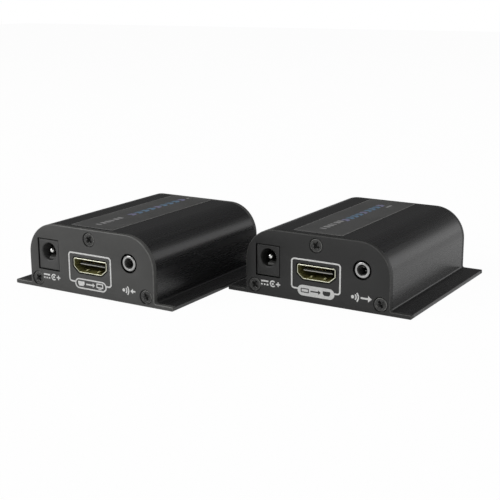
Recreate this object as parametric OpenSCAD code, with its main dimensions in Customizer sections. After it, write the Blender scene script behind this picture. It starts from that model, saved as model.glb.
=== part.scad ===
// A pair of boxes that carry a video signal over one network cable. The receiver stands in front
// on the left, the sender behind it on the right. Each box is an extruded aluminium housing, closed
// by two screwed end plates, with one circuit board slid into its rails.
// +X runs across, +Y from the front plates to the rear, +Z up. The origin is on the floor, at the
// centre of the pair. Inside a box, x is 0 on its centre line and y is 0 on the front plate's face.

/* [Housing] */
// Width of the rounded body
body_w = 55.7; // [55:0.1:64]
// Height from the base to the flat top
body_h = 24.2; // [23.8:0.1:30]
// Depth from the face of the front plate to the face of the rear plate
body_l = 67; // [65:0.5:100]
// Width across the two side flanges
foot_w = 71; // [67:0.5:90]
// Thickness of the base and its flanges
base_t = 1.5; // [1.2:0.1:2]
// Thickness of the side walls and the top
wall_t = 1.5; // [1.2:0.1:1.8]
// Radius of the two rounded top corners
crown_r = 11.6; // [9:0.1:11.8]
// Radius in the corner between a side wall and its flange
root_r = 0.7; // [0.3:0.1:1.5]
// Radius along the outer edges of the flanges
edge_r = 0.35; // [0.1:0.05:0.55]

/* [Pair] */
// Gap between the flanges of the two boxes
pair_gap = 1.3; // [0.8:0.1:60]
// How far the sender stands behind the receiver
pair_step = 32.5; // [0:0.5:60]

/* [End plates] */
// Thickness of the front and rear plates
plate_t = 2; // [1.6:0.1:2.5]
// Distance of a lower screw from the side of the body
screw_inset = 3.45; // [3.2:0.05:4]
// Height of a lower screw above the base
screw_rise = 3.5; // [3.2:0.05:4]
// Distance of the upper screw below the flat top
screw_drop = 3.6; // [3:0.05:3.8]

/* [Screws] */
// Diameter of a countersunk head
head_d = 5; // [4.4:0.1:5.4]
// Diameter of a screw's shank
shank_d = 2.6; // [2.2:0.1:3]
// Length of a screw from its face to its end
screw_l = 9; // [6:0.5:14]
// How far a head lies below the face of its plate
head_sink = 0.2; // [0.05:0.05:0.3]

/* [Screw channels] */
// Clearance between a shank and the bore of its channel
thread_gap = 0.05; // [0.02:0.01:0.1]
// Wall round the bore of a channel
channel_t = 0.95; // [0.7:0.05:1.1]
// Width of the slot along each channel
channel_slot = 1.4; // [0.8:0.1:1.8]

/* [Circuit board] */
// Thickness of the board
board_t = 1.6; // [1.2:0.1:2]
// Clearance between the board and its rails
board_gap = 0.1; // [0.05:0.05:0.3]
// How far the rails stand in from the side walls
rail_w = 1.2; // [0.8:0.1:1.5]
// Thickness of a rail
rail_t = 0.9; // [0.6:0.1:1.4]

/* [Video socket] */
// Distance of the socket from the centre line
video_x = 0.2; // [-1:0.1:1]
// Width across the top of the shell
video_w = 14.9; // [14.5:0.1:15.4]
// Width across the bottom of the shell
video_low_w = 10; // [9.6:0.1:10.6]
// Height of the shell
video_h = 5.2; // [5:0.1:5.6]
// Height of the shell's upright sides
video_side_h = 3.15; // [2.8:0.05:3.6]
// Length of the shell
video_l = 11.5; // [10:0.5:13]
// Height of the shell above the board
video_rise = 0.7; // [0.3:0.1:1]
// Thickness of the shell's sheet
video_sheet = 0.4; // [0.25:0.05:0.45]
// Gap between the shell and the cut-out in the front plate
video_gap = 0.35; // [0.1:0.05:0.6]

/* [Power jack] */
// Distance of the jack's centre from the side of the body
power_inset = 8.9; // [8.6:0.05:9.6]
// Width of the jack's block
power_w = 9; // [8.6:0.1:9.6]
// Height of the jack's block
power_h = 10.8; // [10.4:0.1:11.2]
// Length of the jack's body
power_l = 12.4; // [11:0.2:14]
// How far the block's face lies behind the plate's face
power_set = 0.3; // [0.1:0.05:0.8]
// Height of the plug hole's centre above the board
power_axis = 6.45; // [6.2:0.05:6.6]
// Diameter of the plug hole
power_bore_d = 6.3; // [5.8:0.1:6.6]
// Diameter of the centre pin
power_pin_d = 2; // [1.6:0.1:2.6]
// Distance of the pin's tip behind the block's face
power_pin_set = 1.1; // [1:0.1:3]

/* [Infrared jack] */
// Distance of the jack's centre from the side of the body
infrared_inset = 10.35; // [9.9:0.05:10.8]
// Width of the jack's block
infrared_w = 8.4; // [8:0.1:9]
// Height of the jack's block
infrared_h = 10.6; // [10.2:0.1:11]
// Length of the jack's block
infrared_l = 12; // [10:0.5:13]
// Height of the plug hole's centre above the board
infrared_axis = 6.9; // [6.6:0.05:7.2]
// Outer diameter of the metal barrel
infrared_ring_d = 5.9; // [5.4:0.1:6.4]
// Diameter of the plug hole
infrared_bore_d = 3.6; // [3.5:0.05:3.7]
// Diameter of the hole in the front plate
infrared_hole_d = 7; // [6.8:0.1:8]

/* [Network jack] */
// Distance of the jack from the centre line
network_x = 11.5; // [11:0.1:12]
// Width of the jack
network_w = 16; // [15.6:0.1:16.4]
// Height of the jack
network_h = 13.4; // [13:0.1:13.6]
// Length of the jack
network_l = 21.3; // [19:0.1:23]
// Thickness of the metal shield
network_sheet = 0.25; // [0.2:0.05:0.35]
// Width of the plug's opening
socket_w = 11.9; // [11.7:0.1:12.2]
// Height of the plug's opening
socket_h = 6.9; // [6.7:0.1:7.1]
// Depth of the plug's opening
socket_l = 13; // [11:0.5:14]

/* [Label] */
// Width of the label
label_w = 19; // [14:0.1:24]
// Distance of the label's middle from the centre line
label_x = -1.1; // [-3:0.1:3]
// Distance of the label behind the front plate's face
label_set = 3.3; // [2.6:0.1:8]
// Thickness of the label
label_t = 0.12; // [0.05:0.01:0.3]

/* [Board parts] */
// Width of the square main chip
chip_w = 14; // [12:0.5:15]
// Height of the finned heat sink
sink_h = 3.3; // [2.4:0.1:3.6]
// Diameter of an electrolytic capacitor
capacitor_d = 4; // [3.5:0.1:4.5]
// Height of an electrolytic capacitor
capacitor_h = 4.6; // [4:0.1:4.8]
// Width of the square inductor
inductor_w = 6; // [5:0.1:6.5]
// Length of the line transformer
transformer_l = 12.8; // [11:0.1:13]
// Length of the crystal
crystal_l = 11; // [10:0.1:11.4]

/* [Hidden] */
UNITS = ["receiver", "sender"];
PIECES = [
    "housing", "front_plate", "rear_plate", "front_screws", "rear_screws", "top_label",
    "circuit_board", "video_socket_shell", "video_socket_tongue", "video_socket_contacts",
    "power_jack_body", "power_jack_pin", "power_jack_spring",
    "infrared_jack_body", "infrared_jack_barrel", "infrared_jack_springs",
    "network_jack_shield", "network_jack_body", "network_jack_contacts", "status_lights",
    "main_chip", "heat_sink", "small_chips", "capacitors", "power_inductor", "crystal",
    "line_transformer"
];
$fn = 64;

// Overrun of every cut
over = 1;
// Clearance between pieces that are pressed or clipped together
fit_gap = 0.05;
// Clearance round a leg in the board, and at the ends of the board
leg_gap = 0.1;
// How far a leg reaches below the board
leg_l = 0.9;
// Width of a wire leg
leg_w = 0.6;
// Clearance round a head and its shank in a plate
head_gap = 0.1;
// Distance of the label's rear end from the rear plate's face
label_end = 2.4;
// Width, reach and depth of the cross in a head
cross_w = 0.75;
cross_span = 2.9;
cross_depth = 1.1;
// Steps in a rounded corner of an outline
corner_steps = 5;

// Corner radius of the video shell, and length and place of its legs
video_corner = 0.6;
video_leg_l = 1.6;
video_leg_shares = [0.33, 0.8];
// Plastic tongue and block in the video shell
tongue_w = 11.4;
tongue_t = 1.1;
tongue_drop = 1.25;
tongue_set = 1.5;
tongue_block_l = 3.2;
// Contact strips on the tongue
strip_pitch = 1;
strip_w = 0.45;
strip_t = 0.12;
strip_set = 0.5;
upper_strips = 10;
lower_strips = 9;
// Tails of the strips on the board
tail_pitch = 0.5;
tail_w = 0.25;
tail_t = 0.2;
tail_l = 1.3;
tail_h = 1.4;

// Front block, round back, wall and entry of the power jack
power_block_l = 3.4;
power_round_t = 1;
power_back_t = 2.2;
power_entry = 0.35;
power_gap = 0.25;
// Root of the power jack's pin, which stands in the back wall
power_root_d = 3;
power_root_l = 0.8;
// Rivet and tails of the power jack's pin and spring
rivet_d = 3.4;
rivet_t = 0.5;
power_tail_w = 2;
power_tail_t = 0.4;
spring_w = 1.8;
spring_t = 0.3;
spring_slot_depth = 1.5;
spring_bow = 0.9;

// Chamfer along the infrared jack's block, seat and entry of its barrel
infrared_chamfer = 1.2;
infrared_seat_l = 1.4;
infrared_gap = 0.2;
infrared_entry = 0.3;
infrared_back_t = 1;
infrared_core_d = 3.8;
// Spring legs beside the infrared jack's bore
ear_spring_w = 1.2;
ear_spring_t = 0.25;
ear_spring_shares = [0.3, 0.62];

// Height of the plug's opening above the board, steps of its latch and windows for the lights
socket_rise = 2.9;
latch_w = 6.4;
latch_h = 1.3;
catch_w = 3.6;
catch_h = 0.8;
latch_l = 10;
network_gap = 0.15;
light_w = 2.8;
light_h = 1.8;
light_l = 3;
light_edge = 0.9;
// Contacts of the network jack
wire_count = 8;
wire_pitch = 1.02;
wire_w = 0.4;
wire_set = 1.4;
wire_drop = 2.2;
pin_row = 2.54;

// Board parts
chip_t = 1.2;
chip_stand = 0.1;
lead_count = 12;
lead_l = 1.1;
lead_w = 0.4;
lead_t = 0.2;
lead_lap = 0.5;
sink_margin = 0.3;
sink_base_t = 0.8;
fin_count = 6;
fin_t = 0.7;
small_chip = [5, 4, 1.5];
small_lead_count = 4;
small_lead_pitch = 1.27;
capacitor_base = 0.8;
capacitor_lip = 0.15;
inductor_h = 3;
inductor_corner = 1.4;
inductor_core_d = 4.2;
inductor_groove = 0.4;
crystal_w = 4.6;
crystal_h = 3.4;
crystal_rim = 0.3;
crystal_rim_t = 0.5;
transformer_w = 7;
transformer_h = 3.4;
transformer_leads = 8;
// Places of the board parts: across as shares of the board's width, along as shares of the
// stretch between the front sockets and the network jack
chip_place_shares = [0, 0.46];
capacitor_place_shares = [[-0.24, 0.13], [-0.385, 0.5], [-0.262, 0.52], [0.27, 0.13]];
small_chip_place_shares = [[-0.36, 0.76], [-0.36, 1.02], [0.31, 0.38]];
inductor_place_shares = [-0.37, 0.24];
transformer_place_shares = [0.315, 0.8];
crystal_place_shares = [-0.155, 1.1];

// Sizes that follow from the ones above
pair_pitch = foot_w + pair_gap;
whole_l = body_l + pair_step;
unit_places = [[-pair_pitch / 2, -whole_l / 2, 0], [pair_pitch / 2, pair_step - whole_l / 2, 0]];
inner_w = body_w - 2 * wall_t;
inner_top = body_h - wall_t;
shank_hole_d = shank_d + 2 * head_gap;
head_cone_h = (head_d - shank_d) / 2;
channel_bore_d = shank_d + 2 * thread_gap;
channel_r = channel_bore_d / 2 + channel_t;
screw_x = body_w / 2 - screw_inset;
// Place of each screw and the direction in which the slot of its channel opens
screw_places = [
    [-screw_x, screw_rise, 0],
    [screw_x, screw_rise, 180],
    [0, body_h - screw_drop, -90]
];
board_low = screw_rise + channel_r + board_gap;
board_top = board_low + board_t;
board_w = inner_w - 2 * board_gap;
board_l = body_l - 2 * plate_t - 2 * leg_gap;
power_x = power_inset - body_w / 2;
infrared_x = body_w / 2 - infrared_inset;
infrared_back = plate_t + infrared_gap + infrared_l;
field_front = infrared_back;
field_l = body_l - network_l - field_front;
label_l = body_l - label_set - label_end;
strip_l = video_l - tongue_block_l - tongue_set - strip_set;
leg_reach = board_t + leg_l;

// Places and outlines

module at_unit(i) {
    translate(unit_places[i]) children();
}

// Extrudes an outline in X and Z along Y, from y to y + l
module along_y(y, l) {
    translate([0, y + l, 0]) rotate([90, 0, 0]) linear_extrude(height = l) children();
}

// A round bar along Y, with its centre at [x, z]; d_back differs from d on a cone
module rod(x, y, z, d, l, d_back = undef) {
    translate([x, y + l, z]) rotate([90, 0, 0])
        cylinder(h = l, d1 = is_undef(d_back) ? d : d_back, d2 = d);
}

// A box centred on x, from y and z upwards
module bar(x, y, z, w, l, h) {
    translate([x - w / 2, y, z]) cube([w, l, h]);
}

// Moves a socket at the front to its x, with z from the board's top
module on_board(x, y = 0) {
    translate([x, y, board_top]) children();
}

// Moves the network jack to the rear face, with its y running inwards
module at_rear() {
    translate([network_x, body_l, board_top]) mirror([0, 1, 0]) children();
}

// Moves a board part to its shares of the free stretch of the board
module at_share(share) {
    on_board(share[0] * board_w, field_front + share[1] * field_l) children();
}

function unit(v) = v / norm(v);

// The arc that rounds corner b between a and c
function corner(a, b, c, r) =
    let (
        to_a = unit(a - b),
        to_c = unit(c - b),
        half = acos(to_a * to_c) / 2,
        centre = b + unit(to_a + to_c) * r / sin(half),
        from = b + to_a * r / tan(half) - centre,
        turn = (to_a[0] * to_c[1] - to_a[1] * to_c[0] > 0 ? -1 : 1) * (180 - 2 * half)
    )
    [for (i = [0 : corner_steps])
        let (a = turn * i / corner_steps)
        centre + [from[0] * cos(a) - from[1] * sin(a), from[0] * sin(a) + from[1] * cos(a)]];

function rounded(points, r) =
    let (n = len(points))
    [for (i = [0 : n - 1]) each corner(points[(i + n - 1) % n], points[i], points[(i + 1) % n], r)];

// Body outline: upright sides, two rounded top corners and a flat top
module crown(w, low, high, r) {
    translate([-w / 2, low]) square([w, high - r - low]);
    translate([r - w / 2, low]) square([w - 2 * r, high - low]);
    for (side = [-1, 1]) translate([side * (w / 2 - r), high - r]) circle(r = r);
}

module flanges() {
    translate([edge_r - foot_w / 2, 0]) square([foot_w - 2 * edge_r, base_t]);
    translate([-foot_w / 2, edge_r]) square([foot_w, base_t - 2 * edge_r]);
    for (side = [-1, 1], z = [edge_r, base_t - edge_r])
        translate([side * (foot_w / 2 - edge_r), z]) circle(r = edge_r);
}

module root_fillet() {
    difference() {
        square(root_r);
        translate([root_r, root_r]) circle(r = root_r);
    }
}

module outer_profile() {
    crown(body_w, 0, body_h, crown_r);
    flanges();
    translate([body_w / 2, base_t]) root_fillet();
    mirror([1, 0]) translate([body_w / 2, base_t]) root_fillet();
}

// Rails above and below the edges of the board
module rails() {
    for (side = [-1, 1], z = [board_low - board_gap - rail_t, board_top + board_gap])
        translate([side * (inner_w - rail_w + wall_t) / 2, z + rail_t / 2])
            square([rail_w + wall_t, rail_t], center = true);
}

module housing_profile() {
    difference() {
        outer_profile();
        difference() {
            crown(inner_w, base_t, inner_top, crown_r - wall_t);
            for (place = screw_places) translate([place[0], place[1]]) circle(r = channel_r);
            rails();
        }
        for (place = screw_places) translate([place[0], place[1]]) {
            circle(d = channel_bore_d);
            rotate(place[2]) translate([0, -channel_slot / 2]) square([channel_r + over, channel_slot]);
        }
    }
}

// Outline of the video shell, grown by g, with its underside at 0
function video_outline(g) =
    let (
        turn = atan2((video_w - video_low_w) / 2, video_h - video_side_h),
        half_top = video_w / 2 + g,
        side_z = video_h - video_side_h - g * tan(turn / 2),
        half_low = video_low_w / 2 + g * tan(45 - turn / 2)
    )
    rounded([
        [half_low, -g], [half_top, side_z], [half_top, video_h + g],
        [-half_top, video_h + g], [-half_top, side_z], [-half_low, -g]
    ], video_corner + g);

// Housing

module housing() {
    color([0.13, 0.13, 0.135]) along_y(plate_t, body_l - 2 * plate_t) housing_profile();
}

// End plates

module screw_hole(place) {
    rod(place[0], -over, place[1], shank_hole_d, plate_t + 2 * over);
    rod(place[0], -over, place[1], head_d + 2 * head_gap, over + head_sink);
    rod(place[0], head_sink, place[1], head_d + 2 * head_gap, head_cone_h, shank_hole_d);
}

module blank_plate() {
    difference() {
        along_y(0, plate_t) outer_profile();
        for (place = screw_places) screw_hole(place);
    }
}

module front_plate() {
    color([0.3, 0.3, 0.29]) difference() {
        blank_plate();
        on_board(power_x)
            bar(0, -over, -power_gap, power_w + 2 * power_gap, plate_t + 2 * over, power_h + 2 * power_gap);
        on_board(video_x)
            along_y(-over, plate_t + 2 * over) translate([0, video_rise]) polygon(video_outline(video_gap));
        on_board(infrared_x) rod(0, -over, infrared_axis, infrared_hole_d, plate_t + 2 * over);
    }
}

module rear_plate() {
    color([0.3, 0.3, 0.29]) difference() {
        translate([0, body_l, 0]) mirror([0, 1, 0]) blank_plate();
        at_rear()
            bar(
                0, -over, -network_gap, network_w + 2 * network_gap, plate_t + 2 * over,
                network_h + 2 * network_gap
            );
    }
}

// Screws

module screw(place) {
    difference() {
        union() {
            rod(place[0], head_sink, place[1], head_d, head_cone_h, shank_d);
            rod(place[0], head_sink, place[1], shank_d, screw_l);
        }
        bar(place[0], head_sink - over, place[1] - cross_span / 2, cross_w, over + cross_depth, cross_span);
        bar(place[0], head_sink - over, place[1] - cross_w / 2, cross_span, over + cross_depth, cross_w);
    }
}

module front_screws() {
    color([0.16, 0.16, 0.16]) for (place = screw_places) screw(place);
}

module rear_screws() {
    color([0.16, 0.16, 0.16]) translate([0, body_l, 0]) mirror([0, 1, 0])
        for (place = screw_places) screw(place);
}

// Label

module top_label() {
    color([0.29, 0.3, 0.31]) bar(label_x, label_set, body_h, label_w, label_l, label_t);
}

// Circuit board

module leg(x, y, w, t, top, g = 0) {
    translate([x - w / 2 - g, y - t / 2 - g, -leg_reach - (g > 0 ? over : 0)])
        cube([w + 2 * g, t + 2 * g, leg_reach + top + (g > 0 ? over : 0)]);
}

module video_legs(g = 0) {
    for (side = [-1, 1], share = video_leg_shares)
        leg(
            side * (video_w - video_sheet) / 2, share * video_l, video_sheet, video_leg_l,
            video_rise + video_h - video_side_h + video_corner, g
        );
}

// The pin's tail stands behind the power jack, the spring's tail in the slot under its bore
module power_pin_tail(g = 0) {
    leg(0, power_l + rivet_t + power_tail_t / 2, power_tail_w, power_tail_t, power_axis, g);
}

module power_spring_tail(g = 0) {
    leg(0, power_l - power_back_t - power_tail_t, spring_w, power_tail_t, power_floor + spring_t, g);
}

power_floor = power_axis - power_bore_d / 2 - spring_slot_depth;

module infrared_tails(g = 0) {
    for (side = [-1, 1], share = ear_spring_shares)
        leg(
            side * (infrared_w / 2 - infrared_chamfer), share * infrared_l, ear_spring_t, ear_spring_w,
            infrared_axis, g
        );
}

module network_shield_legs(g = 0) {
    for (side = [-1, 1])
        leg(side * (network_w - network_sheet) / 2, network_l / 2, network_sheet, video_leg_l, network_h / 2, g);
}

module network_pins(g = 0) {
    for (i = [0 : wire_count - 1])
        leg(
            (i - (wire_count - 1) / 2) * wire_pitch, socket_l + pin_row * (1 + i % 2), leg_w, leg_w, 0, g
        );
}

module circuit_board() {
    color([0.05, 0.3, 0.16]) difference() {
        bar(0, plate_t + leg_gap, board_low, board_w, board_l, board_t);
        on_board(video_x) video_legs(leg_gap);
        on_board(power_x, power_set) {
            power_pin_tail(leg_gap);
            power_spring_tail(leg_gap);
        }
        on_board(infrared_x, plate_t + infrared_gap) infrared_tails(leg_gap);
        at_rear() {
            network_shield_legs(leg_gap);
            network_pins(leg_gap);
        }
    }
}

// Video socket

module video_socket_shell() {
    color([0.8, 0.79, 0.72]) on_board(video_x) {
        along_y(0, video_l) translate([0, video_rise]) difference() {
            polygon(video_outline(0));
            polygon(video_outline(-video_sheet));
        }
        video_legs();
    }
}

module video_socket_tongue() {
    block_y = video_l - tongue_block_l;
    color([0.09, 0.09, 0.09]) on_board(video_x) {
        along_y(block_y, tongue_block_l) translate([0, video_rise])
            polygon(video_outline(-video_sheet - fit_gap));
        bar(
            0, tongue_set, video_rise + video_h - video_sheet - tongue_drop - tongue_t, tongue_w,
            block_y - tongue_set, tongue_t
        );
    }
}

module strips(count, z) {
    for (i = [0 : count - 1])
        bar((i - (count - 1) / 2) * strip_pitch, tongue_set + strip_set, z, strip_w, strip_l, strip_t);
}

module video_socket_contacts() {
    tongue_top = video_rise + video_h - video_sheet - tongue_drop;
    tails = upper_strips + lower_strips;
    color([0.85, 0.7, 0.35]) on_board(video_x) {
        strips(upper_strips, tongue_top);
        strips(lower_strips, tongue_top - tongue_t - strip_t);
        for (i = [0 : tails - 1]) translate([(i - (tails - 1) / 2) * tail_pitch, 0, 0]) {
            bar(0, video_l, 0, tail_w, tail_l, tail_t);
            bar(0, video_l, 0, tail_w, tail_t, tail_h);
        }
    }
}

// Power jack

module power_jack_body() {
    bore_l = power_l - power_back_t;
    color([0.05, 0.05, 0.055]) on_board(power_x, power_set) difference() {
        union() {
            bar(0, 0, 0, power_w, power_block_l, power_h);
            rod(0, 0, power_axis, power_bore_d + 2 * power_round_t, power_l);
            bar(0, 0, 0, power_bore_d + 2 * power_round_t, power_l, power_axis);
        }
        rod(0, -over, power_axis, power_bore_d, bore_l + over);
        rod(0, 0, power_axis, power_bore_d + 2 * power_entry, power_entry, power_bore_d);
        rod(0, 0, power_axis, power_root_d + 2 * fit_gap, power_l + over);
        bar(
            0, power_block_l, power_floor, spring_w + 2 * fit_gap, bore_l - power_block_l,
            power_axis - power_floor
        );
        bar(
            0, power_l - power_back_t - power_tail_t * 1.5 - fit_gap, -over, spring_w + 2 * fit_gap,
            power_tail_t + 2 * fit_gap, over + power_axis
        );
    }
}

module power_jack_pin() {
    tip_y = power_pin_set + power_pin_d / 2;
    back_y = power_l - power_back_t;
    root_y = back_y - power_root_l;
    color([0.83, 0.82, 0.78]) on_board(power_x, power_set) {
        translate([0, tip_y, power_axis]) sphere(d = power_pin_d);
        rod(0, tip_y, power_axis, power_pin_d, root_y - tip_y);
        rod(0, root_y, power_axis, power_pin_d, power_root_l, power_root_d);
        rod(0, back_y, power_axis, power_root_d, power_back_t);
        rod(0, power_l, power_axis, rivet_d, rivet_t);
        power_pin_tail();
    }
}

// A leaf that lies in the slot under the bore and bows up towards the plug
module power_jack_spring() {
    y0 = power_block_l + fit_gap;
    y1 = power_l - power_back_t - power_tail_t * 1.5;
    color([0.83, 0.8, 0.7]) on_board(power_x, power_set) {
        translate([-spring_w / 2, 0, power_floor]) rotate([90, 0, 90]) linear_extrude(height = spring_w)
            polygon([
                [y0, 0], [(y0 + y1) / 2, spring_bow], [y1 + power_tail_t, 0],
                [y1 + power_tail_t, spring_t], [(y0 + y1) / 2, spring_bow + spring_t], [y0, spring_t]
            ]);
        power_spring_tail();
    }
}

// Infrared jack

module infrared_jack_body() {
    outline = [
        [-infrared_w / 2, 0], [infrared_w / 2, 0], [infrared_w / 2, infrared_h - infrared_chamfer],
        [infrared_w / 2 - infrared_chamfer, infrared_h], [infrared_chamfer - infrared_w / 2, infrared_h],
        [-infrared_w / 2, infrared_h - infrared_chamfer]
    ];
    color([0.05, 0.05, 0.055]) on_board(infrared_x, plate_t + infrared_gap) difference() {
        along_y(0, infrared_l) polygon(outline);
        rod(0, -over, infrared_axis, infrared_core_d, infrared_l - infrared_back_t + over);
        rod(0, -over, infrared_axis, infrared_ring_d + 2 * fit_gap, infrared_seat_l + over);
        for (side = [-1, 1], share = ear_spring_shares)
            bar(
                side * (infrared_w / 2 - infrared_chamfer), share * infrared_l - ear_spring_w / 2 - fit_gap,
                -over, ear_spring_t + 2 * fit_gap, ear_spring_w + 2 * fit_gap, over + infrared_axis + fit_gap
            );
    }
}

module infrared_jack_barrel() {
    barrel_l = plate_t + infrared_gap + infrared_seat_l;
    color([0.85, 0.85, 0.83]) on_board(infrared_x) difference() {
        rod(0, 0, infrared_axis, infrared_ring_d, barrel_l);
        rod(0, -over, infrared_axis, infrared_bore_d, barrel_l + 2 * over);
        rod(0, 0, infrared_axis, infrared_bore_d + 2 * infrared_entry, infrared_entry, infrared_bore_d);
    }
}

module infrared_jack_springs() {
    color([0.83, 0.8, 0.7]) on_board(infrared_x, plate_t + infrared_gap) infrared_tails();
}

// Network jack

module network_jack_shield() {
    color([0.72, 0.73, 0.74]) at_rear() {
        difference() {
            bar(0, 0, 0, network_w, network_l, network_h);
            bar(
                0, -over, -over, network_w - 2 * network_sheet, network_l - network_sheet + over,
                network_h - network_sheet + over
            );
        }
        network_shield_legs();
    }
}

module network_jack_body() {
    insert_w = network_w - 2 * network_sheet - 2 * fit_gap;
    insert_l = network_l - network_sheet - fit_gap;
    color([0.06, 0.06, 0.065]) at_rear() difference() {
        bar(0, 0, 0, insert_w, insert_l, network_h - network_sheet - fit_gap);
        bar(0, -over, socket_rise, socket_w, socket_l + over, socket_h);
        bar(0, -over, socket_rise - latch_h, latch_w, latch_l + over, latch_h + over);
        bar(0, -over, socket_rise - latch_h - catch_h, catch_w, latch_l + over, catch_h + over);
        for (side = [-1, 1])
            bar(side * light_x, -over, light_z, light_w, light_l + over, light_h);
    }
}

light_x = network_w / 2 - network_sheet - fit_gap - light_edge - light_w / 2;
light_z = network_h - network_sheet - fit_gap - light_edge / 2 - light_h;

// Each contact runs along the roof of the opening and folds back down into it
module network_jack_contacts() {
    roof = socket_rise + socket_h;
    back = socket_l - wire_set;
    color([0.85, 0.7, 0.35]) at_rear() {
        for (i = [0 : wire_count - 1])
            translate([(i - wire_count / 2) * wire_pitch + (wire_pitch - wire_w) / 2, 0, 0])
                rotate([90, 0, 90]) linear_extrude(height = wire_w) polygon([
                    [wire_set, roof], [wire_set, roof - wire_w], [back, roof - wire_drop - wire_w],
                    [back, roof - wire_drop], [wire_set + 2 * wire_w, roof - wire_w],
                    [socket_l, roof - wire_w], [socket_l, roof]
                ]);
        network_pins();
    }
}

module status_lights() {
    color([0.75, 0.8, 0.6]) at_rear() for (side = [-1, 1])
        bar(
            side * light_x, 0, light_z + fit_gap, light_w - 2 * fit_gap, light_l, light_h - 2 * fit_gap
        );
}

// Board parts

module lead_row(count, pitch, reach) {
    for (i = [0 : count - 1], side = [-1, 1])
        translate([(i - (count - 1) / 2) * pitch - lead_w / 2, side > 0 ? reach - lead_lap : -reach - lead_l, 0])
            cube([lead_w, lead_l + lead_lap, lead_t]);
}

module main_chip() {
    color([0.07, 0.07, 0.07]) at_share(chip_place_shares) {
        bar(0, -chip_w / 2, chip_stand, chip_w, chip_w, chip_t);
        for (turn = [0, 90]) rotate(turn) lead_row(lead_count, chip_w / (lead_count + 1), chip_w / 2);
    }
}

module heat_sink() {
    side = chip_w - 2 * sink_margin;
    step = (side - fin_t) / (fin_count - 1);
    color([0.1, 0.1, 0.1]) at_share(chip_place_shares) translate([0, 0, chip_stand + chip_t]) {
        bar(0, -side / 2, 0, side, side, sink_base_t);
        for (i = [0 : fin_count - 1]) bar(i * step - (side - fin_t) / 2, -side / 2, 0, fin_t, side, sink_h);
    }
}

module small_chips() {
    color([0.07, 0.07, 0.07]) for (share = small_chip_place_shares) at_share(share) {
        bar(0, -small_chip[1] / 2, chip_stand, small_chip[0], small_chip[1], small_chip[2]);
        lead_row(small_lead_count, small_lead_pitch, small_chip[1] / 2);
    }
}

module capacitors() {
    base_w = capacitor_d + 2 * capacitor_lip;
    color([0.75, 0.75, 0.76]) for (share = capacitor_place_shares) at_share(share) {
        linear_extrude(height = capacitor_base) polygon([
            [-base_w / 2, -base_w / 2], [base_w / 2 - capacitor_base, -base_w / 2],
            [base_w / 2, capacitor_base - base_w / 2], [base_w / 2, base_w / 2 - capacitor_base],
            [base_w / 2 - capacitor_base, base_w / 2], [-base_w / 2, base_w / 2]
        ]);
        cylinder(h = capacitor_h, d = capacitor_d);
    }
}

module power_inductor() {
    half = inductor_w / 2;
    cut = half - inductor_corner;
    color([0.14, 0.14, 0.15]) at_share(inductor_place_shares) difference() {
        linear_extrude(height = inductor_h) polygon([
            [-cut, -half], [cut, -half], [half, -cut], [half, cut],
            [cut, half], [-cut, half], [-half, cut], [-half, -cut]
        ]);
        translate([0, 0, inductor_h - inductor_groove]) difference() {
            cylinder(h = over, d = inductor_core_d + 2 * inductor_groove);
            cylinder(h = over, d = inductor_core_d);
        }
    }
}

module oblong(l, w, h) {
    linear_extrude(height = h) {
        square([l - w, w], center = true);
        for (side = [-1, 1]) translate([side * (l - w) / 2, 0]) circle(d = w);
    }
}

module crystal() {
    color([0.78, 0.78, 0.78]) at_share(crystal_place_shares) {
        oblong(crystal_l, crystal_w, crystal_rim_t);
        oblong(crystal_l - 2 * crystal_rim, crystal_w - 2 * crystal_rim, crystal_h);
    }
}

module line_transformer() {
    color([0.07, 0.07, 0.07]) at_share(transformer_place_shares) {
        bar(0, -transformer_w / 2, chip_stand, transformer_l, transformer_w, transformer_h);
        lead_row(transformer_leads, transformer_l / (transformer_leads + 1), transformer_w / 2);
    }
}

for (i = [0, 1]) {
    at_unit(i) housing();
    at_unit(i) front_plate();
    at_unit(i) rear_plate();
    at_unit(i) front_screws();
    at_unit(i) rear_screws();
    at_unit(i) top_label();
    at_unit(i) circuit_board();
    at_unit(i) video_socket_shell();
    at_unit(i) video_socket_tongue();
    at_unit(i) video_socket_contacts();
    at_unit(i) power_jack_body();
    at_unit(i) power_jack_pin();
    at_unit(i) power_jack_spring();
    at_unit(i) infrared_jack_body();
    at_unit(i) infrared_jack_barrel();
    at_unit(i) infrared_jack_springs();
    at_unit(i) network_jack_shield();
    at_unit(i) network_jack_body();
    at_unit(i) network_jack_contacts();
    at_unit(i) status_lights();
    at_unit(i) main_chip();
    at_unit(i) heat_sink();
    at_unit(i) small_chips();
    at_unit(i) capacitors();
    at_unit(i) power_inductor();
    at_unit(i) crystal();
    at_unit(i) line_transformer();
}
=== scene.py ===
import math
import bmesh
import bpy
from mathutils import Matrix, Vector, geometry


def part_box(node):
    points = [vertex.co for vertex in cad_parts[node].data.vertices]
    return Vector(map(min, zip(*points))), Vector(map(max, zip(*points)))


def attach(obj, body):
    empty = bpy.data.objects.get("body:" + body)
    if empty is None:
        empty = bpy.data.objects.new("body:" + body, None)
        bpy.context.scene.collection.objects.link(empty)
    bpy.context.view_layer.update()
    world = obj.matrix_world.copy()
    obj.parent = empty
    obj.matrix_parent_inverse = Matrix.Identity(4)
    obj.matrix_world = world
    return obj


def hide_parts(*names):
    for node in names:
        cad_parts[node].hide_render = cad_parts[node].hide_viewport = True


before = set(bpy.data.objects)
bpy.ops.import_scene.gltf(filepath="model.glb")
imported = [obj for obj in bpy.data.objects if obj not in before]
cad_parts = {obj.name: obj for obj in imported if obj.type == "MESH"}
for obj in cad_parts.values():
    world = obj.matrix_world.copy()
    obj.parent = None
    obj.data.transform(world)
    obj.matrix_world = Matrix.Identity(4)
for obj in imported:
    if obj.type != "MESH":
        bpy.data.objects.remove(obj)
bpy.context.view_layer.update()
UNITS = ("receiver", "sender")
MM = 0.001

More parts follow.
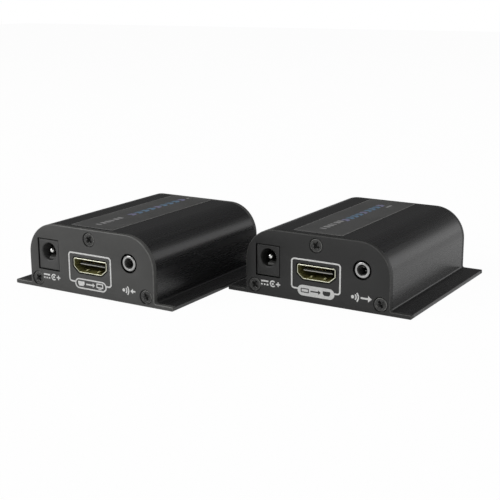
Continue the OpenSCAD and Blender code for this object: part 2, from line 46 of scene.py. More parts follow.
# Camera
# A product camera on a stand in front of the pair, a little to the right, looking down on it.
# Its place and lens follow from the photograph's perspective.
camera_place = Vector((200.80, -324.22, 106.82)) * MM
camera_heading = Vector((-0.5280, 0.8492, 0.0)).normalized()
camera_pitch = 0.2467
camera_roll = -0.0063
camera_lens = 76.15
camera_sensor = 36.0

lens = bpy.data.cameras.new("product_camera")
lens.lens = camera_lens
lens.sensor_width = camera_sensor
lens.sensor_fit = "HORIZONTAL"
lens.clip_start = 0.01
camera = bpy.data.objects.new("product_camera", lens)
bpy.context.collection.objects.link(camera)
gaze = camera_heading * math.cos(camera_pitch) - Vector((0, 0, math.sin(camera_pitch)))
turn = gaze.to_track_quat("-Z", "Y").to_matrix().to_4x4()
camera.matrix_world = turn @ Matrix.Rotation(camera_roll, 4, "Z")
camera.location = camera_place
bpy.context.scene.camera = camera
bpy.context.scene.view_settings.view_transform = "Standard"

# Table and studio light
# A wide white table in a room with pale walls, a dark ceiling and a dark screen on the far left, which
# the roofs and the side walls mirror. On the right the pale wall reaches higher. Two large soft lamps
# hang over the front left and overhead. The room's spans are parts of a direction across, away or up.
table_span = 4.0
table_colour = (0.86, 0.86, 0.86, 1)
table_white, table_mirrored = 0.97, 0.3
room_low = (1.0, 1.0, 1.0, 1)
room_high = (0.08, 0.08, 0.08, 1)
room_strength = 0.55
screen_left, screen_far, screen_foot = (0.15, -0.15), (0.05, 0.4), (-0.06, 0.0)
ceiling_rise = (0.10, 0.38)
right_side, right_lift = (0.40, 0.54), 0.36
soft_lamps = {
    "front_left_softbox": {"spot": (-0.75, -0.75, 0.75), "aim": (0, 0, 0.01), "span": 0.7, "watts": 9.0},
    "top_softbox": {"spot": (0.15, 0.1, 1.2), "aim": (0, 0, 0), "span": 0.9, "watts": 7.0},
}


def wire(tree, *links):
    """Links sockets in pairs: each output with the input that it goes to."""
    for source, target in links:
        tree.links.new(source, target)


def node_at(tree, kind, **values):
    """A new node with values for its inputs, by their names."""
    made = tree.nodes.new(kind)
    for name, value in values.items():
        made.inputs[name.replace("_", " ")].default_value = value
    return made


def mix_colours(tree, value, first, second):
    mix = tree.nodes.new("ShaderNodeMix")
    mix.data_type = "RGBA"
    mix.inputs["A"].default_value = first
    mix.inputs["B"].default_value = second
    wire(tree, (value, mix.inputs["Factor"]))
    return mix.outputs["Result"]


def reckon(tree, operation, first, second):
    """A sum in the node tree, of numbers and of other nodes' outputs."""
    made = tree.nodes.new("ShaderNodeMath")
    made.operation = operation
    for value, socket in zip((first, second), made.inputs):
        if isinstance(value, float):
            socket.default_value = value
        else:
            wire(tree, (value, socket))
    return made.outputs[0]


def straight_rays(tree, seen=1.0, mirrored=1.0):
    """The share of the background's own white for each ray, and 0 for rays that light the object."""
    path = tree.nodes.new("ShaderNodeLightPath")
    total = reckon(tree, "MULTIPLY", path.outputs["Is Camera Ray"], seen)
    for ray in ("Is Glossy Ray", "Is Transmission Ray"):
        total = reckon(tree, "MAXIMUM", total, reckon(tree, "MULTIPLY", path.outputs[ray], mirrored))
    return total


def flat_mesh(name, points, faces):
    mesh = bpy.data.meshes.new(name)
    mesh.from_pydata(points, [], faces)
    mesh.update()
    piece = bpy.data.objects.new(name, mesh)
    bpy.context.collection.objects.link(piece)
    return piece


half = table_span / 2
table_corners = [(-half, -half, 0), (half, -half, 0), (half, half, 0), (-half, half, 0)]
table = flat_mesh("table", table_corners, [(0, 1, 2, 3)])
table_paint = bpy.data.materials.new("table_white")
table_paint.use_nodes = True
tree = table_paint.node_tree
tree.nodes.clear()
matt = node_at(tree, "ShaderNodeBsdfDiffuse", Color=table_colour)
glow = tree.nodes.new("ShaderNodeEmission")
lit = tree.nodes.new("ShaderNodeMixShader")
out = tree.nodes.new("ShaderNodeOutputMaterial")
wire(tree, (straight_rays(tree, table_white, table_mirrored), lit.inputs[0]),
     (matt.outputs[0], lit.inputs[1]), (glow.outputs[0], lit.inputs[2]),
     (lit.outputs[0], out.inputs["Surface"]))
table.data.materials.append(table_paint)

room = bpy.data.worlds.new("studio_room")
room.use_nodes = True
bpy.context.scene.world = room
tree = room.node_tree
tree.nodes.clear()
place = tree.nodes.new("ShaderNodeTexCoord")
axes = tree.nodes.new("ShaderNodeSeparateXYZ")
wire(tree, (place.outputs["Generated"], axes.inputs[0]))


def fade(tree, value, span):
    """Goes softly from 0 to 1 as the value goes from one end of the span to the other."""
    fit = node_at(tree, "ShaderNodeMapRange", From_Min=span[0], From_Max=span[1])
    fit.interpolation_type = "SMOOTHSTEP"
    wire(tree, (value, fit.inputs["Value"]))
    return fit.outputs[0]


screen = reckon(tree, "MULTIPLY", fade(tree, axes.outputs["X"], screen_left),
                fade(tree, axes.outputs["Y"], screen_far))
screen = reckon(tree, "MULTIPLY", screen, fade(tree, axes.outputs["Z"], screen_foot))
lift = reckon(tree, "MULTIPLY", fade(tree, axes.outputs["X"], right_side), -right_lift)
ceiling = fade(tree, reckon(tree, "ADD", axes.outputs["Z"], lift), ceiling_rise)
path = tree.nodes.new("ShaderNodeLightPath")
unseen = reckon(tree, "SUBTRACT", 1.0, path.outputs["Is Camera Ray"])
dim = reckon(tree, "MULTIPLY", reckon(tree, "MAXIMUM", screen, ceiling), unseen)
tones = mix_colours(tree, dim, room_low, room_high)
walls = node_at(tree, "ShaderNodeBackground", Strength=room_strength)
white = tree.nodes.new("ShaderNodeBackground")
pick = tree.nodes.new("ShaderNodeMixShader")
out = tree.nodes.new("ShaderNodeOutputWorld")
wire(tree, (tones, walls.inputs["Color"]), (tones, white.inputs["Color"]),
     (straight_rays(tree), pick.inputs[0]), (walls.outputs[0], pick.inputs[1]),
     (white.outputs[0], pick.inputs[2]),
     (pick.outputs[0], out.inputs["Surface"]))

for name, lamp in soft_lamps.items():
    light = bpy.data.lights.new(name, "AREA")
    light.shape = "RECTANGLE"
    light.size = light.size_y = lamp["span"]
    light.energy = lamp["watts"]
    softbox = bpy.data.objects.new(name, light)
    bpy.context.collection.objects.link(softbox)
    spot = Vector(lamp["spot"])
    softbox.location = spot
    softbox.rotation_euler = (Vector(lamp["aim"]) - spot).to_track_quat("-Z", "Y").to_euler()

# Housing
# One aluminium extrusion with a base, two side flanges, a rounded top, board rails and three screw
# channels. It is pressed through a die, sawn to length and anodised black, with fine die lines along it.
body_w, body_h, body_l, foot_w = 55.7, 24.2, 67.0, 71.0
base_t, wall_t, plate_t = 1.5, 1.5, 2.0
crown_r, root_r, edge_r = 11.6, 0.7, 0.35
screw_places = ((-24.4, 3.5), (24.4, 3.5), (0, 20.6))
channel_r, channel_bore_r, channel_slot, channel_slot_over = 2.3, 1.35, 1.4, 1.0
board_low, board_top = 5.9, 7.5
rail_w, rail_t, rail_gap = 1.2, 0.9, 0.1
crown_steps = 40
anodised_colour = (0.0125, 0.0125, 0.0130, 1)
anodised_rough, anodised_sheen = (0.24, 0.31), 0.68
fine_height, broad_height = 0.00001, 0.00002


def front_centre(unit, x=0, y=0, z=0):
    """The point on the table under the middle of the unit's front face, moved by millimetres."""
    low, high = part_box(unit + "_front_plate")
    return Vector(((low.x + high.x) / 2, low.y, 0)) + Vector((x, y, z)) * MM


def arc(x, z, r, start, end, steps):
    """Points on an arc, with its angles in degrees."""
    angles = [math.radians(start + (end - start) * i / steps) for i in range(steps + 1)]
    return [(x + r * math.cos(a), z + r * math.sin(a)) for a in angles]


def round_loop(x, z, r, steps=64):
    return arc(x, z, r, 0, 360, steps)[:-1]


def rounded_box(x0, z0, x1, z1, r, steps=6):
    return (arc(x1 - r, z0 + r, r, -90, 0, steps) + arc(x1 - r, z1 - r, r, 0, 90, steps)
            + arc(x0 + r, z1 - r, r, 90, 180, steps) + arc(x0 + r, z0 + r, r, 180, 270, steps))


def box_loop(x0, z0, x1, z1):
    return [(x0, z0), (x1, z0), (x1, z1), (x0, z1)]


def standing_box(x, z, w, h, r=0.25, steps=6):
    """A rounded box whose foot has its middle at the point."""
    return rounded_box(x - w / 2, z, x + w / 2, z + h, r, steps)


def centred_box(x, z, w, h, r=0.2, steps=6):
    return standing_box(x, z - h / 2, w, h, r, steps)


def outer_profile():
    side = body_w / 2
    foot = foot_w / 2
    right = arc(foot - edge_r, edge_r, edge_r, -90, 0, 6)
    right += arc(foot - edge_r, base_t - edge_r, edge_r, 0, 90, 6)
    right += arc(side + root_r, base_t + root_r, root_r, -90, -180, 8)
    right += arc(side - crown_r, body_h - crown_r, crown_r, 0, 90, crown_steps)
    return right + [(-x, z) for x, z in reversed(right)]


def inner_profile():
    side = body_w / 2 - wall_t
    r = crown_r - wall_t
    right = [(side, base_t)] + arc(side - r, body_h - wall_t - r, r, 0, 90, crown_steps)
    return right + [(-x, z) for x, z in reversed(right)]


def linked_loops(loops):
    points, edges = [], []
    for loop in loops:
        first = len(points)
        points += [Vector(p) for p in loop]
        edges += [(first + i, first + (i + 1) % len(loop)) for i in range(len(loop))]
    return points, edges


def inside(point, loop):
    x, z = point
    hit = False
    for i in range(len(loop)):
        (x0, z0), (x1, z1) = loop[i - 1], loop[i]
        if (z0 > z) != (z1 > z) and x < (x1 - x0) * (z - z0) / (z1 - z0) + x0:
            hit = not hit
    return hit


def housing_section():
    """The flat section of the extrusion as triangles, cut from its outlines."""
    outer, inner = outer_profile(), inner_profile()
    reach = channel_r + channel_slot_over
    channels, bores, slots, rails = [], [], [], []
    half_slot = channel_slot / 2
    for x, z in screw_places:
        channels.append(round_loop(x, z, channel_r, 48))
        bores.append(round_loop(x, z, channel_bore_r, 40))
        slots.append(box_loop(x, z - half_slot, x - math.copysign(reach, x), z + half_slot) if x
                     else box_loop(x - half_slot, z, x + half_slot, z - reach))
    side = body_w / 2 - wall_t
    for s in (-1, 1):
        for z in (board_low - rail_gap - rail_t, board_top + rail_gap):
            rails.append(box_loop(s * (side - rail_w), z, s * (side + wall_t / 2), z + rail_t))
    loops = [outer, inner] + channels + bores + slots + rails
    points, edges = linked_loops(loops)
    flat, _, faces, _, _, _ = geometry.delaunay_2d_cdt(points, edges, [], 0, 1e-6)
    kept = []
    for face in faces:
        middle = sum((flat[i] for i in face), Vector((0, 0))) / len(face)
        if not inside(middle, outer):
            continue
        hollow = inside(middle, inner)
        hollow = hollow and not any(inside(middle, loop) for loop in channels + rails)
        if hollow or any(inside(middle, loop) for loop in bores + slots):
            continue
        kept.append(tuple(face))
    return flat, kept


def socket_id(tree, name):
    for item in tree.interface.items_tree:
        if item.name == name and item.in_out == "INPUT":
            return item.identifier


def new_tree(name, inputs):
    """A Geometry Nodes tree with a geometry in and out, and the named inputs."""
    tree = bpy.data.node_groups.new(name, "GeometryNodeTree")
    tree.interface.new_socket("Geometry", in_out="INPUT", socket_type="NodeSocketGeometry")
    for label, kind in inputs:
        tree.interface.new_socket(label, in_out="INPUT", socket_type=kind)
    tree.interface.new_socket("Geometry", in_out="OUTPUT", socket_type="NodeSocketGeometry")
    return tree, tree.nodes.new("NodeGroupInput"), tree.nodes.new("NodeGroupOutput")


def bake(piece, maker):
    """Evaluates the piece's modifier and leaves its result as a plain mesh."""
    graph = bpy.context.evaluated_depsgraph_get()
    made = bpy.data.meshes.new_from_object(piece.evaluated_get(graph))
    piece.modifiers.remove(maker)
    piece.data = made
    made.name = piece.name


def bake_tree(piece, tree, values):
    """Bakes a node tree on the piece, with values for the tree's named inputs."""
    maker = piece.modifiers.new(tree.name, "NODES")
    maker.node_group = tree
    for label, value in values.items():
        maker[socket_id(tree, label)] = value
    bake(piece, maker)


def settle(piece, angle=30.0):
    """Merges doubles, turns the faces outwards and smooths all but the sharp edges."""
    work = bmesh.new()
    work.from_mesh(piece.data)
    bmesh.ops.remove_doubles(work, verts=work.verts, dist=1e-7)
    bmesh.ops.dissolve_degenerate(work, edges=work.edges, dist=1e-8)
    bmesh.ops.recalc_face_normals(work, faces=work.faces)
    work.to_mesh(piece.data)
    work.free()
    piece.data.shade_smooth()
    piece.data.set_sharp_from_angle(angle=math.radians(angle))


def stand_for(piece, slot, *names):
    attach(piece, "root")
    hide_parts(*names)


def new_finish(name):
    """An empty material with its shader, its output and the piece's own coordinates."""
    made = bpy.data.materials.new(name)
    made.use_nodes = True
    tree = made.node_tree
    tree.nodes.clear()
    shader = tree.nodes.new("ShaderNodeBsdfPrincipled")
    out = tree.nodes.new("ShaderNodeOutputMaterial")
    wire(tree, (shader.outputs[0], out.inputs["Surface"]))
    place = tree.nodes.new("ShaderNodeTexCoord")
    return made, tree, shader, place.outputs["Object"]


def noise(tree, place, scale, detail=3.0, rough=0.5, stretch=(1, 1, 1)):
    fit = node_at(tree, "ShaderNodeMapping", Scale=stretch)
    grain = node_at(tree, "ShaderNodeTexNoise", Scale=scale, Detail=detail, Roughness=rough)
    wire(tree, (place, fit.inputs["Vector"]), (fit.outputs[0], grain.inputs["Vector"]))
    return grain.outputs["Fac"]


def spread(tree, value, low, high, start=0.3, end=0.7):
    fit = node_at(tree, "ShaderNodeMapRange", From_Min=start, From_Max=end, To_Min=low, To_Max=high)
    wire(tree, (value, fit.inputs["Value"]))
    return fit.outputs[0]


def raise_grain(tree, shader, value, strength, height, under=None):
    bump = node_at(tree, "ShaderNodeBump", Strength=strength, Distance=height)
    wire(tree, (value, bump.inputs["Height"]), (bump.outputs[0], shader.inputs["Normal"]))
    if under is not None:
        wire(tree, (under, bump.inputs["Normal"]))
    return bump.outputs[0]


def times(colour, share):
    return (colour[0] * share, colour[1] * share, colour[2] * share, 1)


def speckled(name, tones, patches, rough, grain=None, relief=0.1, height=fine_height, **settings):
    """A finish with patches of two tones, whose gloss and relief follow the grain or else the patches.

    Patches and grain are noises, given by their scale, detail and roughness.
    """
    made, tree, shader, place = new_finish(name)
    wander = noise(tree, place, *patches)
    fine = noise(tree, place, *grain) if grain else wander
    wire(tree, (mix_colours(tree, spread(tree, wander, 0, 1), *tones), shader.inputs["Base Color"]),
         (spread(tree, fine, *rough), shader.inputs["Roughness"]))
    for setting, value in settings.items():
        shader.inputs[setting.replace("_", " ")].default_value = value
    raise_grain(tree, shader, fine, relief, height)
    return made


def anodised_skin():
    made, tree, shader, place = new_finish("black_anodised_skin")
    lines = noise(tree, place, 900.0, 4.0, 0.65, (1, 0.02, 1))
    broad = noise(tree, place, 60.0, 2.0, 0.5, (1, 0.12, 1))
    pits = noise(tree, place, 5200.0, 2.0, 0.5, (1, 0.5, 1))
    tones = times(anodised_colour, 0.85), times(anodised_colour, 1.2)
    wire(tree, (mix_colours(tree, spread(tree, broad, 0, 1), *tones), shader.inputs["Base Color"]),
         (spread(tree, lines, *anodised_rough), shader.inputs["Roughness"]))
    shader.inputs["Specular IOR Level"].default_value = anodised_sheen
    fine = raise_grain(tree, shader, pits, 0.10, fine_height)
    raise_grain(tree, shader, lines, 0.020, broad_height, fine)
    return made


black_anodised = anodised_skin()

section_points, section_faces = housing_section()
extrude, given, result = new_tree("die_and_saw", (
    ("Length", "NodeSocketFloat"), ("Skin", "NodeSocketMaterial")))
push = node_at(extrude, "GeometryNodeExtrudeMesh", Individual=False)
push.mode = "FACES"
way = extrude.nodes.new("ShaderNodeCombineXYZ")
flip = extrude.nodes.new("GeometryNodeFlipFaces")
join = extrude.nodes.new("GeometryNodeJoinGeometry")
weld = node_at(extrude, "GeometryNodeMergeByDistance", Distance=1e-7)
real = extrude.nodes.new("GeometryNodeRealizeInstances")
skin = extrude.nodes.new("GeometryNodeSetMaterial")
wire(extrude, (given.outputs["Geometry"], push.inputs["Mesh"]), (given.outputs["Length"], way.inputs["Y"]),
     (way.outputs[0], push.inputs["Offset"]), (given.outputs["Geometry"], flip.inputs["Mesh"]),
     (push.outputs["Mesh"], join.inputs[0]), (flip.outputs[0], join.inputs[0]),
     (join.outputs[0], weld.inputs["Geometry"]), (weld.outputs[0], real.inputs[0]),
     (real.outputs[0], skin.inputs["Geometry"]), (given.outputs["Skin"], skin.inputs["Material"]),
     (skin.outputs[0], result.inputs["Geometry"]))

for unit in UNITS:
    flat = [front_centre(unit, p.x, plate_t, p.y) for p in section_points]
    housing = flat_mesh(unit + "_extruded_housing", flat, section_faces)
    bake_tree(housing, extrude, {"Length": (body_l - 2 * plate_t) * MM, "Skin": black_anodised})
    settle(housing, 25)
    stand_for(housing, "black_anodised", unit + "_housing")

# Front and rear plates
# Flat aluminium plates of the extrusion's outline, punched for the sockets, countersunk for the
# screws, deburred along every edge and anodised a fine matt grey.
plate_front_bevel, plate_back_bevel, hole_bevel = 0.28, 0.12, 0.1
countersink_r, countersink_lip, shank_r, head_sink = 2.6, 0.08, 1.4, 0.2
power_x, infrared_x, network_x, video_x = -18.95, 17.5, 11.5, 0.2
power_cut, power_cut_drop = (9.7, 11.5), 0.35
network_cut, network_cut_drop = (16.3, 13.7), 0.15
infrared_hole_r = 3.38
video_w, video_low_w, video_h, video_side_h, video_rise = 14.9, 10.0, 5.2, 3.15, 0.7
video_corner, video_gap = 0.6, 0.35
infrared_axis, power_axis = 6.9, 6.45
# The sender's plate tone is lower than the receiver's as painted shade, for the light that the receiver keeps
# off it; both plates have one finish.
plate_colour_with_painted_shade = {"receiver": (0.052, 0.052, 0.050, 1), "sender": (0.0108, 0.0108, 0.0105, 1)}
# The front edges' lighter tone is a painted highlight along the rounded edge, and the sender's lower edge
# tone is painted shade, as on its plate.
edge_painted_highlight_colour = {"receiver": (0.15, 0.15, 0.145, 1), "sender": (0.060, 0.060, 0.058, 1)}
# The walls of the cut-outs and the countersinks are near black as painted shade, a dark gap where these
# hollows fall into shadow.
cut_wall_painted_shade_colour = (0.008, 0.008, 0.008, 1)


def shift(loop, x, z):
    return [(px + x, pz + z) for px, pz in loop]


def inset(loop, distance):
    """Moves a loop to its left by a distance, so inwards where it runs anticlockwise."""
    moved = []
    for i in range(len(loop)):
        before, here, after = Vector(loop[i - 1]), Vector(loop[i]), Vector(loop[(i + 1) % len(loop)])
        first, second = (here - before).normalized(), (after - here).normalized()
        left = Vector((-first.y, first.x)) + Vector((-second.y, second.x))
        left /= max(0.2, 1 + first.dot(second))
        moved.append(tuple(here + left * distance))
    return moved


def rounded_corners(points, radius, steps=5):
    """The outline through the points, with its corners rounded by one radius or by one each."""
    outline = []
    for i in range(len(points)):
        r = radius[i] if isinstance(radius, list) else radius
        here = Vector(points[i])
        first = (Vector(points[i - 1]) - here).normalized()
        second = (Vector(points[(i + 1) % len(points)]) - here).normalized()
        half = math.acos(max(-1, min(1, first.dot(second)))) / 2
        centre = here + (first + second).normalized() * (r / math.sin(half))
        start = here + first * (r / math.tan(half)) - centre
        sweep = math.pi - 2 * half
        if first.x * second.y - first.y * second.x > 0:
            sweep = -sweep
        for k in range(steps + 1):
            a = sweep * k / steps
            outline.append((centre.x + start.x * math.cos(a) - start.y * math.sin(a),
                            centre.y + start.x * math.sin(a) + start.y * math.cos(a)))
    return outline


def video_outline(grow):
    """Outline of the video shell, grown, with the shell's underside at 0."""
    slope = math.atan2((video_w - video_low_w) / 2, video_h - video_side_h)
    half_top = video_w / 2 + grow
    side_z = video_h - video_side_h - grow * math.tan(slope / 2)
    half_low = video_low_w / 2 + grow * math.tan(math.pi / 4 - slope / 2)
    return rounded_corners([(half_low, -grow), (half_top, side_z), (half_top, video_h + grow),
                            (-half_top, video_h + grow), (-half_top, side_z), (-half_low, -grow)],
                           max(0.1, video_corner + grow))


class Stack:
    """A solid built of flat outlines at depths behind its seen face, in millimetres."""

    ways = {
        "front": lambda u, v, depth: Vector((u, depth, v)),
        "rear": lambda u, v, depth: Vector((u, -depth, v)),
        "top": lambda u, v, depth: Vector((u, v, -depth)),
    }

    def __init__(self, at, way="front"):
        self.at, self.way = at, self.ways[way]
        self.points, self.faces, self.kinds = [], [], []

    def ring(self, loop, depth):
        first = len(self.points)
        self.points += [self.at + self.way(u, v, depth) * MM for u, v in loop]
        return [first + i for i in range(len(loop))]

    def wall(self, near, far, kind=0):
        n = len(near)
        for i in range(n):
            j = (i + 1) % n
            self.faces.append((near[i], near[j], far[j], far[i]))
            self.kinds.append(kind)

    def tube(self, steps, kinds=None):
        """Walls between rings given as (loop, depth); returns the first and last ring."""
        rings = [self.ring(loop, y) for loop, y in steps]
        for i in range(len(rings) - 1):
            self.wall(rings[i], rings[i + 1], kinds[i] if kinds else 0)
        return (rings[0], steps[0][0]), (rings[-1], steps[-1][0])

    def cap(self, ends, kind=0):
        """Fills the flat region inside the first ring, with the others left open as holes."""
        loops = [loop for _, loop in ends]
        points, edges = linked_loops(loops)
        names = [i for ring, _ in ends for i in ring]
        flat, _, faces, source, _, _ = geometry.delaunay_2d_cdt(points, edges, [], 0, 1e-7)
        for face in faces:
            middle = sum((flat[i] for i in face), Vector((0, 0))) / len(face)
            if inside(middle, loops[0]) and not any(inside(middle, loop) for loop in loops[1:]):
                self.faces.append(tuple(names[source[i][0]] for i in face))
                self.kinds.append(kind)

    def close(self, ends, near_kind=0, far_kind=0):
        """Caps an outer tube and the tubes within it, at their near and at their far ends."""
        self.cap([near for near, _ in ends], near_kind)
        self.cap([far for _, far in ends], far_kind)

    def rod(self, steps, kinds=None, kind=0):
        """A closed solid through rings given as (loop, depth)."""
        self.close([self.tube(steps, kinds)], kind, kind)

    def slab(self, outline, near, far, holes=(), kind=0):
        """A closed plate of one outline between two depths, with holes."""
        loops = [outline] + [hole[::-1] for hole in holes]
        self.close([self.tube([(loop, near), (loop, far)], [kind]) for loop in loops], kind, kind)

    def solid(self, name, finishes, angle=30.0):
        piece = flat_mesh(name, self.points, self.faces)
        for made in finishes:
            piece.data.materials.append(made)
        for face, kind in zip(piece.data.polygons, self.kinds):
            face.material_index = kind
        settle(piece, angle)
        return piece


def edge_steps(loop, bevel, depth, near=True, count=3):
    """Rings of a rounded edge: from the inset face to the full outline, or back again."""
    rings = []
    for i in range(count + 1):
        a = math.pi / 2 * i / count
        rings.append((inset(loop, bevel * (1 - math.sin(a))), bevel * (1 - math.cos(a))))
    if near:
        return [(outline, depth + y) for outline, y in rings]
    return [(outline, depth - y) for outline, y in reversed(rings)]


def plate_skin(unit):
    # The sender's tones hold painted shade.
    tones = times(plate_colour_with_painted_shade[unit], 0.93), times(plate_colour_with_painted_shade[unit], 1.07)
    return speckled(unit + "_grey_anodised_plate", tones, (140.0,), (0.44, 0.56), (3600.0, 3.0, 0.6), 0.18)


def plate_edge_skin(name, colour):
    tones = times(colour, 0.7), times(colour, 1.2)
    return speckled(name, tones, (700.0,), (0.3, 0.42), Specular_IOR_Level=0.35)


# Painted shade on the walls of the holes.
cut_walls_painted_shade = plate_edge_skin("punched_cut", cut_wall_painted_shade_colour)


def end_plate(name, at, cuts, finishes, way="front"):
    """A plate with cut-outs and three countersunk holes; its seen face is at depth 0."""
    plate = Stack(at, way)
    outline = outer_profile()
    steps = edge_steps(outline, plate_front_bevel, 0)
    steps += edge_steps(outline, plate_back_bevel, plate_t, near=False)
    ends = [plate.tube(steps, [1, 1, 1] + [0] * (len(steps) - 4))]
    for cut in cuts:
        steps = edge_steps(cut[::-1], hole_bevel, 0)
        steps += edge_steps(cut[::-1], hole_bevel, plate_t, near=False)
        ends.append(plate.tube(steps, [2] * (len(steps) - 1)))
    cone = head_sink + countersink_r - shank_r
    for x, z in screw_places:
        steps = [(round_loop(x, z, r)[::-1], depth) for r, depth in (
            (countersink_r + countersink_lip, 0), (countersink_r, countersink_lip),
            (countersink_r, head_sink), (shank_r, cone), (shank_r, plate_t))]
        ends.append(plate.tube(steps, [2, 2, 2, 2]))
    plate.close(ends)
    return plate.solid(name, finishes, 25)


for unit in UNITS:
    # The front edge's finish paints a highlight; the cut walls' finish paints shade.
    edge_skin = plate_edge_skin(unit + "_plate_edge", edge_painted_highlight_colour[unit])
    finishes = [plate_skin(unit), edge_skin, cut_walls_painted_shade]
    front = end_plate(unit + "_front_end_plate", front_centre(unit), [
        standing_box(power_x, board_top - power_cut_drop, *power_cut),
        shift(video_outline(video_gap), video_x, board_top + video_rise),
        round_loop(infrared_x, board_top + infrared_axis, infrared_hole_r),
    ], finishes)
    stand_for(front, "plate_anodised", unit + "_front_plate")
    rear = end_plate(unit + "_rear_end_plate", front_centre(unit, 0, body_l), [
        standing_box(network_x, board_top - network_cut_drop, *network_cut),
    ], finishes, "rear")
    stand_for(rear, "plate_anodised", unit + "_rear_plate")

# Screws
# Countersunk machine screws with a cross recess, three in each plate, of steel with a black finish.
# The rim of the head and the mouth of the recess are lighter as a painted highlight. They cut their
# own thread in the channels. The profile gives radii with depths, and the recess its shares of width
# and length with depths.
head_r, screw_shank_r, screw_l = 2.36, 1.3, 9.0
screw_profile = (
    (head_r - 0.30, 0), (head_r - 0.09, 0.08), (head_r, 0.22), (head_r - 0.06, 0.30),
    (screw_shank_r + 0.02, 1.3), (screw_shank_r, 1.5), (screw_shank_r, screw_l - 0.5),
    (screw_shank_r - 0.4, screw_l - 0.2))
cross_half_w, cross_half_l, cross_neck, cross_corner = 0.46, 1.6, 1.25, 0.12
cross_steps = ((1, 1, 0), (0.9, 0.92, 0.1), (0.6, 0.42, 1.3))
steel_dark, steel_pale = (0.030, 0.030, 0.030, 1), (0.060, 0.060, 0.058, 1)
# The rim's lighter tones are a painted highlight on the black steel.
rim_dark, rim_pale = (0.075, 0.075, 0.073, 1), (0.22, 0.22, 0.21, 1)
screw_turns = {
    "receiver_front_plate": (52, 64, 40), "sender_front_plate": (38, 57, 33),
    "receiver_rear_plate": (12, 71, 33), "sender_rear_plate": (80, 25, 47),
}


def cross_loop(half_w, half_l):
    neck = half_w * cross_neck
    corner = [(half_l, -half_w), (half_l, half_w), (neck, neck)]
    points = []
    for c, s in ((1, 0), (0, 1), (-1, 0), (0, -1)):
        points += [(x * c - z * s, x * s + z * c) for x, z in corner]
    return rounded_corners(points, cross_corner, 3)


screw_finishes = [
    speckled("black_oxide_steel", (steel_dark, steel_pale), (1400.0,), (0.30, 0.42), relief=0.15,
             Metallic=0.35),
    speckled("rubbed_head_rim", (rim_dark, rim_pale), (1800.0, 2.0), (0.25, 0.4), Metallic=0.5),
]
pattern = Stack(Vector((0, 0, 0)))
near, far = pattern.tube([(round_loop(0, 0, r, 48), depth) for r, depth in screw_profile],
                         [1, 1, 0, 0, 0, 0, 0])
recess_top, recess_floor = pattern.tube(
    [(cross_loop(cross_half_w * w_share, cross_half_l * l_share)[::-1], depth)
     for w_share, l_share, depth in cross_steps], [1, 0])
pattern.cap([near, recess_top])
pattern.cap([recess_floor])
pattern.cap([far])
screw_pattern = pattern.solid("screw_pattern", screw_finishes, 35)
rim_faces = screw_pattern.data.attributes.new("rim", "BOOLEAN", "FACE")
for face in screw_pattern.data.polygons:
    rim_faces.data[face.index].value = face.material_index == 1


def copies_tree(name, inputs):
    """A tree that puts copies of an object on points and gives them a finish."""
    tree, given, result = new_tree(name, (
        ("Pattern", "NodeSocketObject"), ("Skin", "NodeSocketMaterial")) + inputs)
    info, spots, real, skin = (tree.nodes.new("GeometryNode" + kind) for kind in (
        "ObjectInfo", "InstanceOnPoints", "RealizeInstances", "SetMaterial"))
    wire(tree, (given.outputs["Pattern"], info.inputs["Object"]),
         (info.outputs["Geometry"], spots.inputs["Instance"]), (spots.outputs[0], real.inputs[0]),
         (real.outputs[0], skin.inputs["Geometry"]), (given.outputs["Skin"], skin.inputs["Material"]))
    return tree, given, result, spots, skin


drive, given, result, spots, skin = copies_tree("screws_in_plate", (
    ("Turn", "NodeSocketString"), ("Rim", "NodeSocketMaterial")))
angles = drive.nodes.new("GeometryNodeInputNamedAttribute")
angles.data_type = "FLOAT_VECTOR"
rim = drive.nodes.new("GeometryNodeSetMaterial")
on_rim = node_at(drive, "GeometryNodeInputNamedAttribute", Name="rim")
on_rim.data_type = "BOOLEAN"
wire(drive, (given.outputs["Geometry"], spots.inputs["Points"]),
     (given.outputs["Turn"], angles.inputs["Name"]),
     (angles.outputs["Attribute"], spots.inputs["Rotation"]), (skin.outputs[0], rim.inputs["Geometry"]),
     (on_rim.outputs["Attribute"], rim.inputs["Selection"]), (given.outputs["Rim"], rim.inputs["Material"]),
     (rim.outputs[0], result.inputs["Geometry"]))

for unit in UNITS:
    for plate, node in (("_front_plate", "_front_screws"), ("_rear_plate", "_rear_screws")):
        rear = plate == "_rear_plate"
        depth = body_l - head_sink if rear else head_sink
        spots_at = [front_centre(unit, x, depth, z) for x, z in screw_places]
        screws = flat_mesh(unit + node.replace("_screws", "_plate_screws"), spots_at, [])
        turns = screws.data.attributes.new("turn", "FLOAT_VECTOR", "POINT")
        for i, degrees in enumerate(screw_turns[unit + plate]):
            turns.data[i].vector = (0, math.radians(degrees), math.pi if rear else 0)
        bake_tree(screws, drive, {"Pattern": screw_pattern, "Turn": "turn",
                                  "Skin": screw_finishes[0], "Rim": screw_finishes[1]})
        stand_for(screws, "black_screw", unit + node)
bpy.data.objects.remove(screw_pattern)

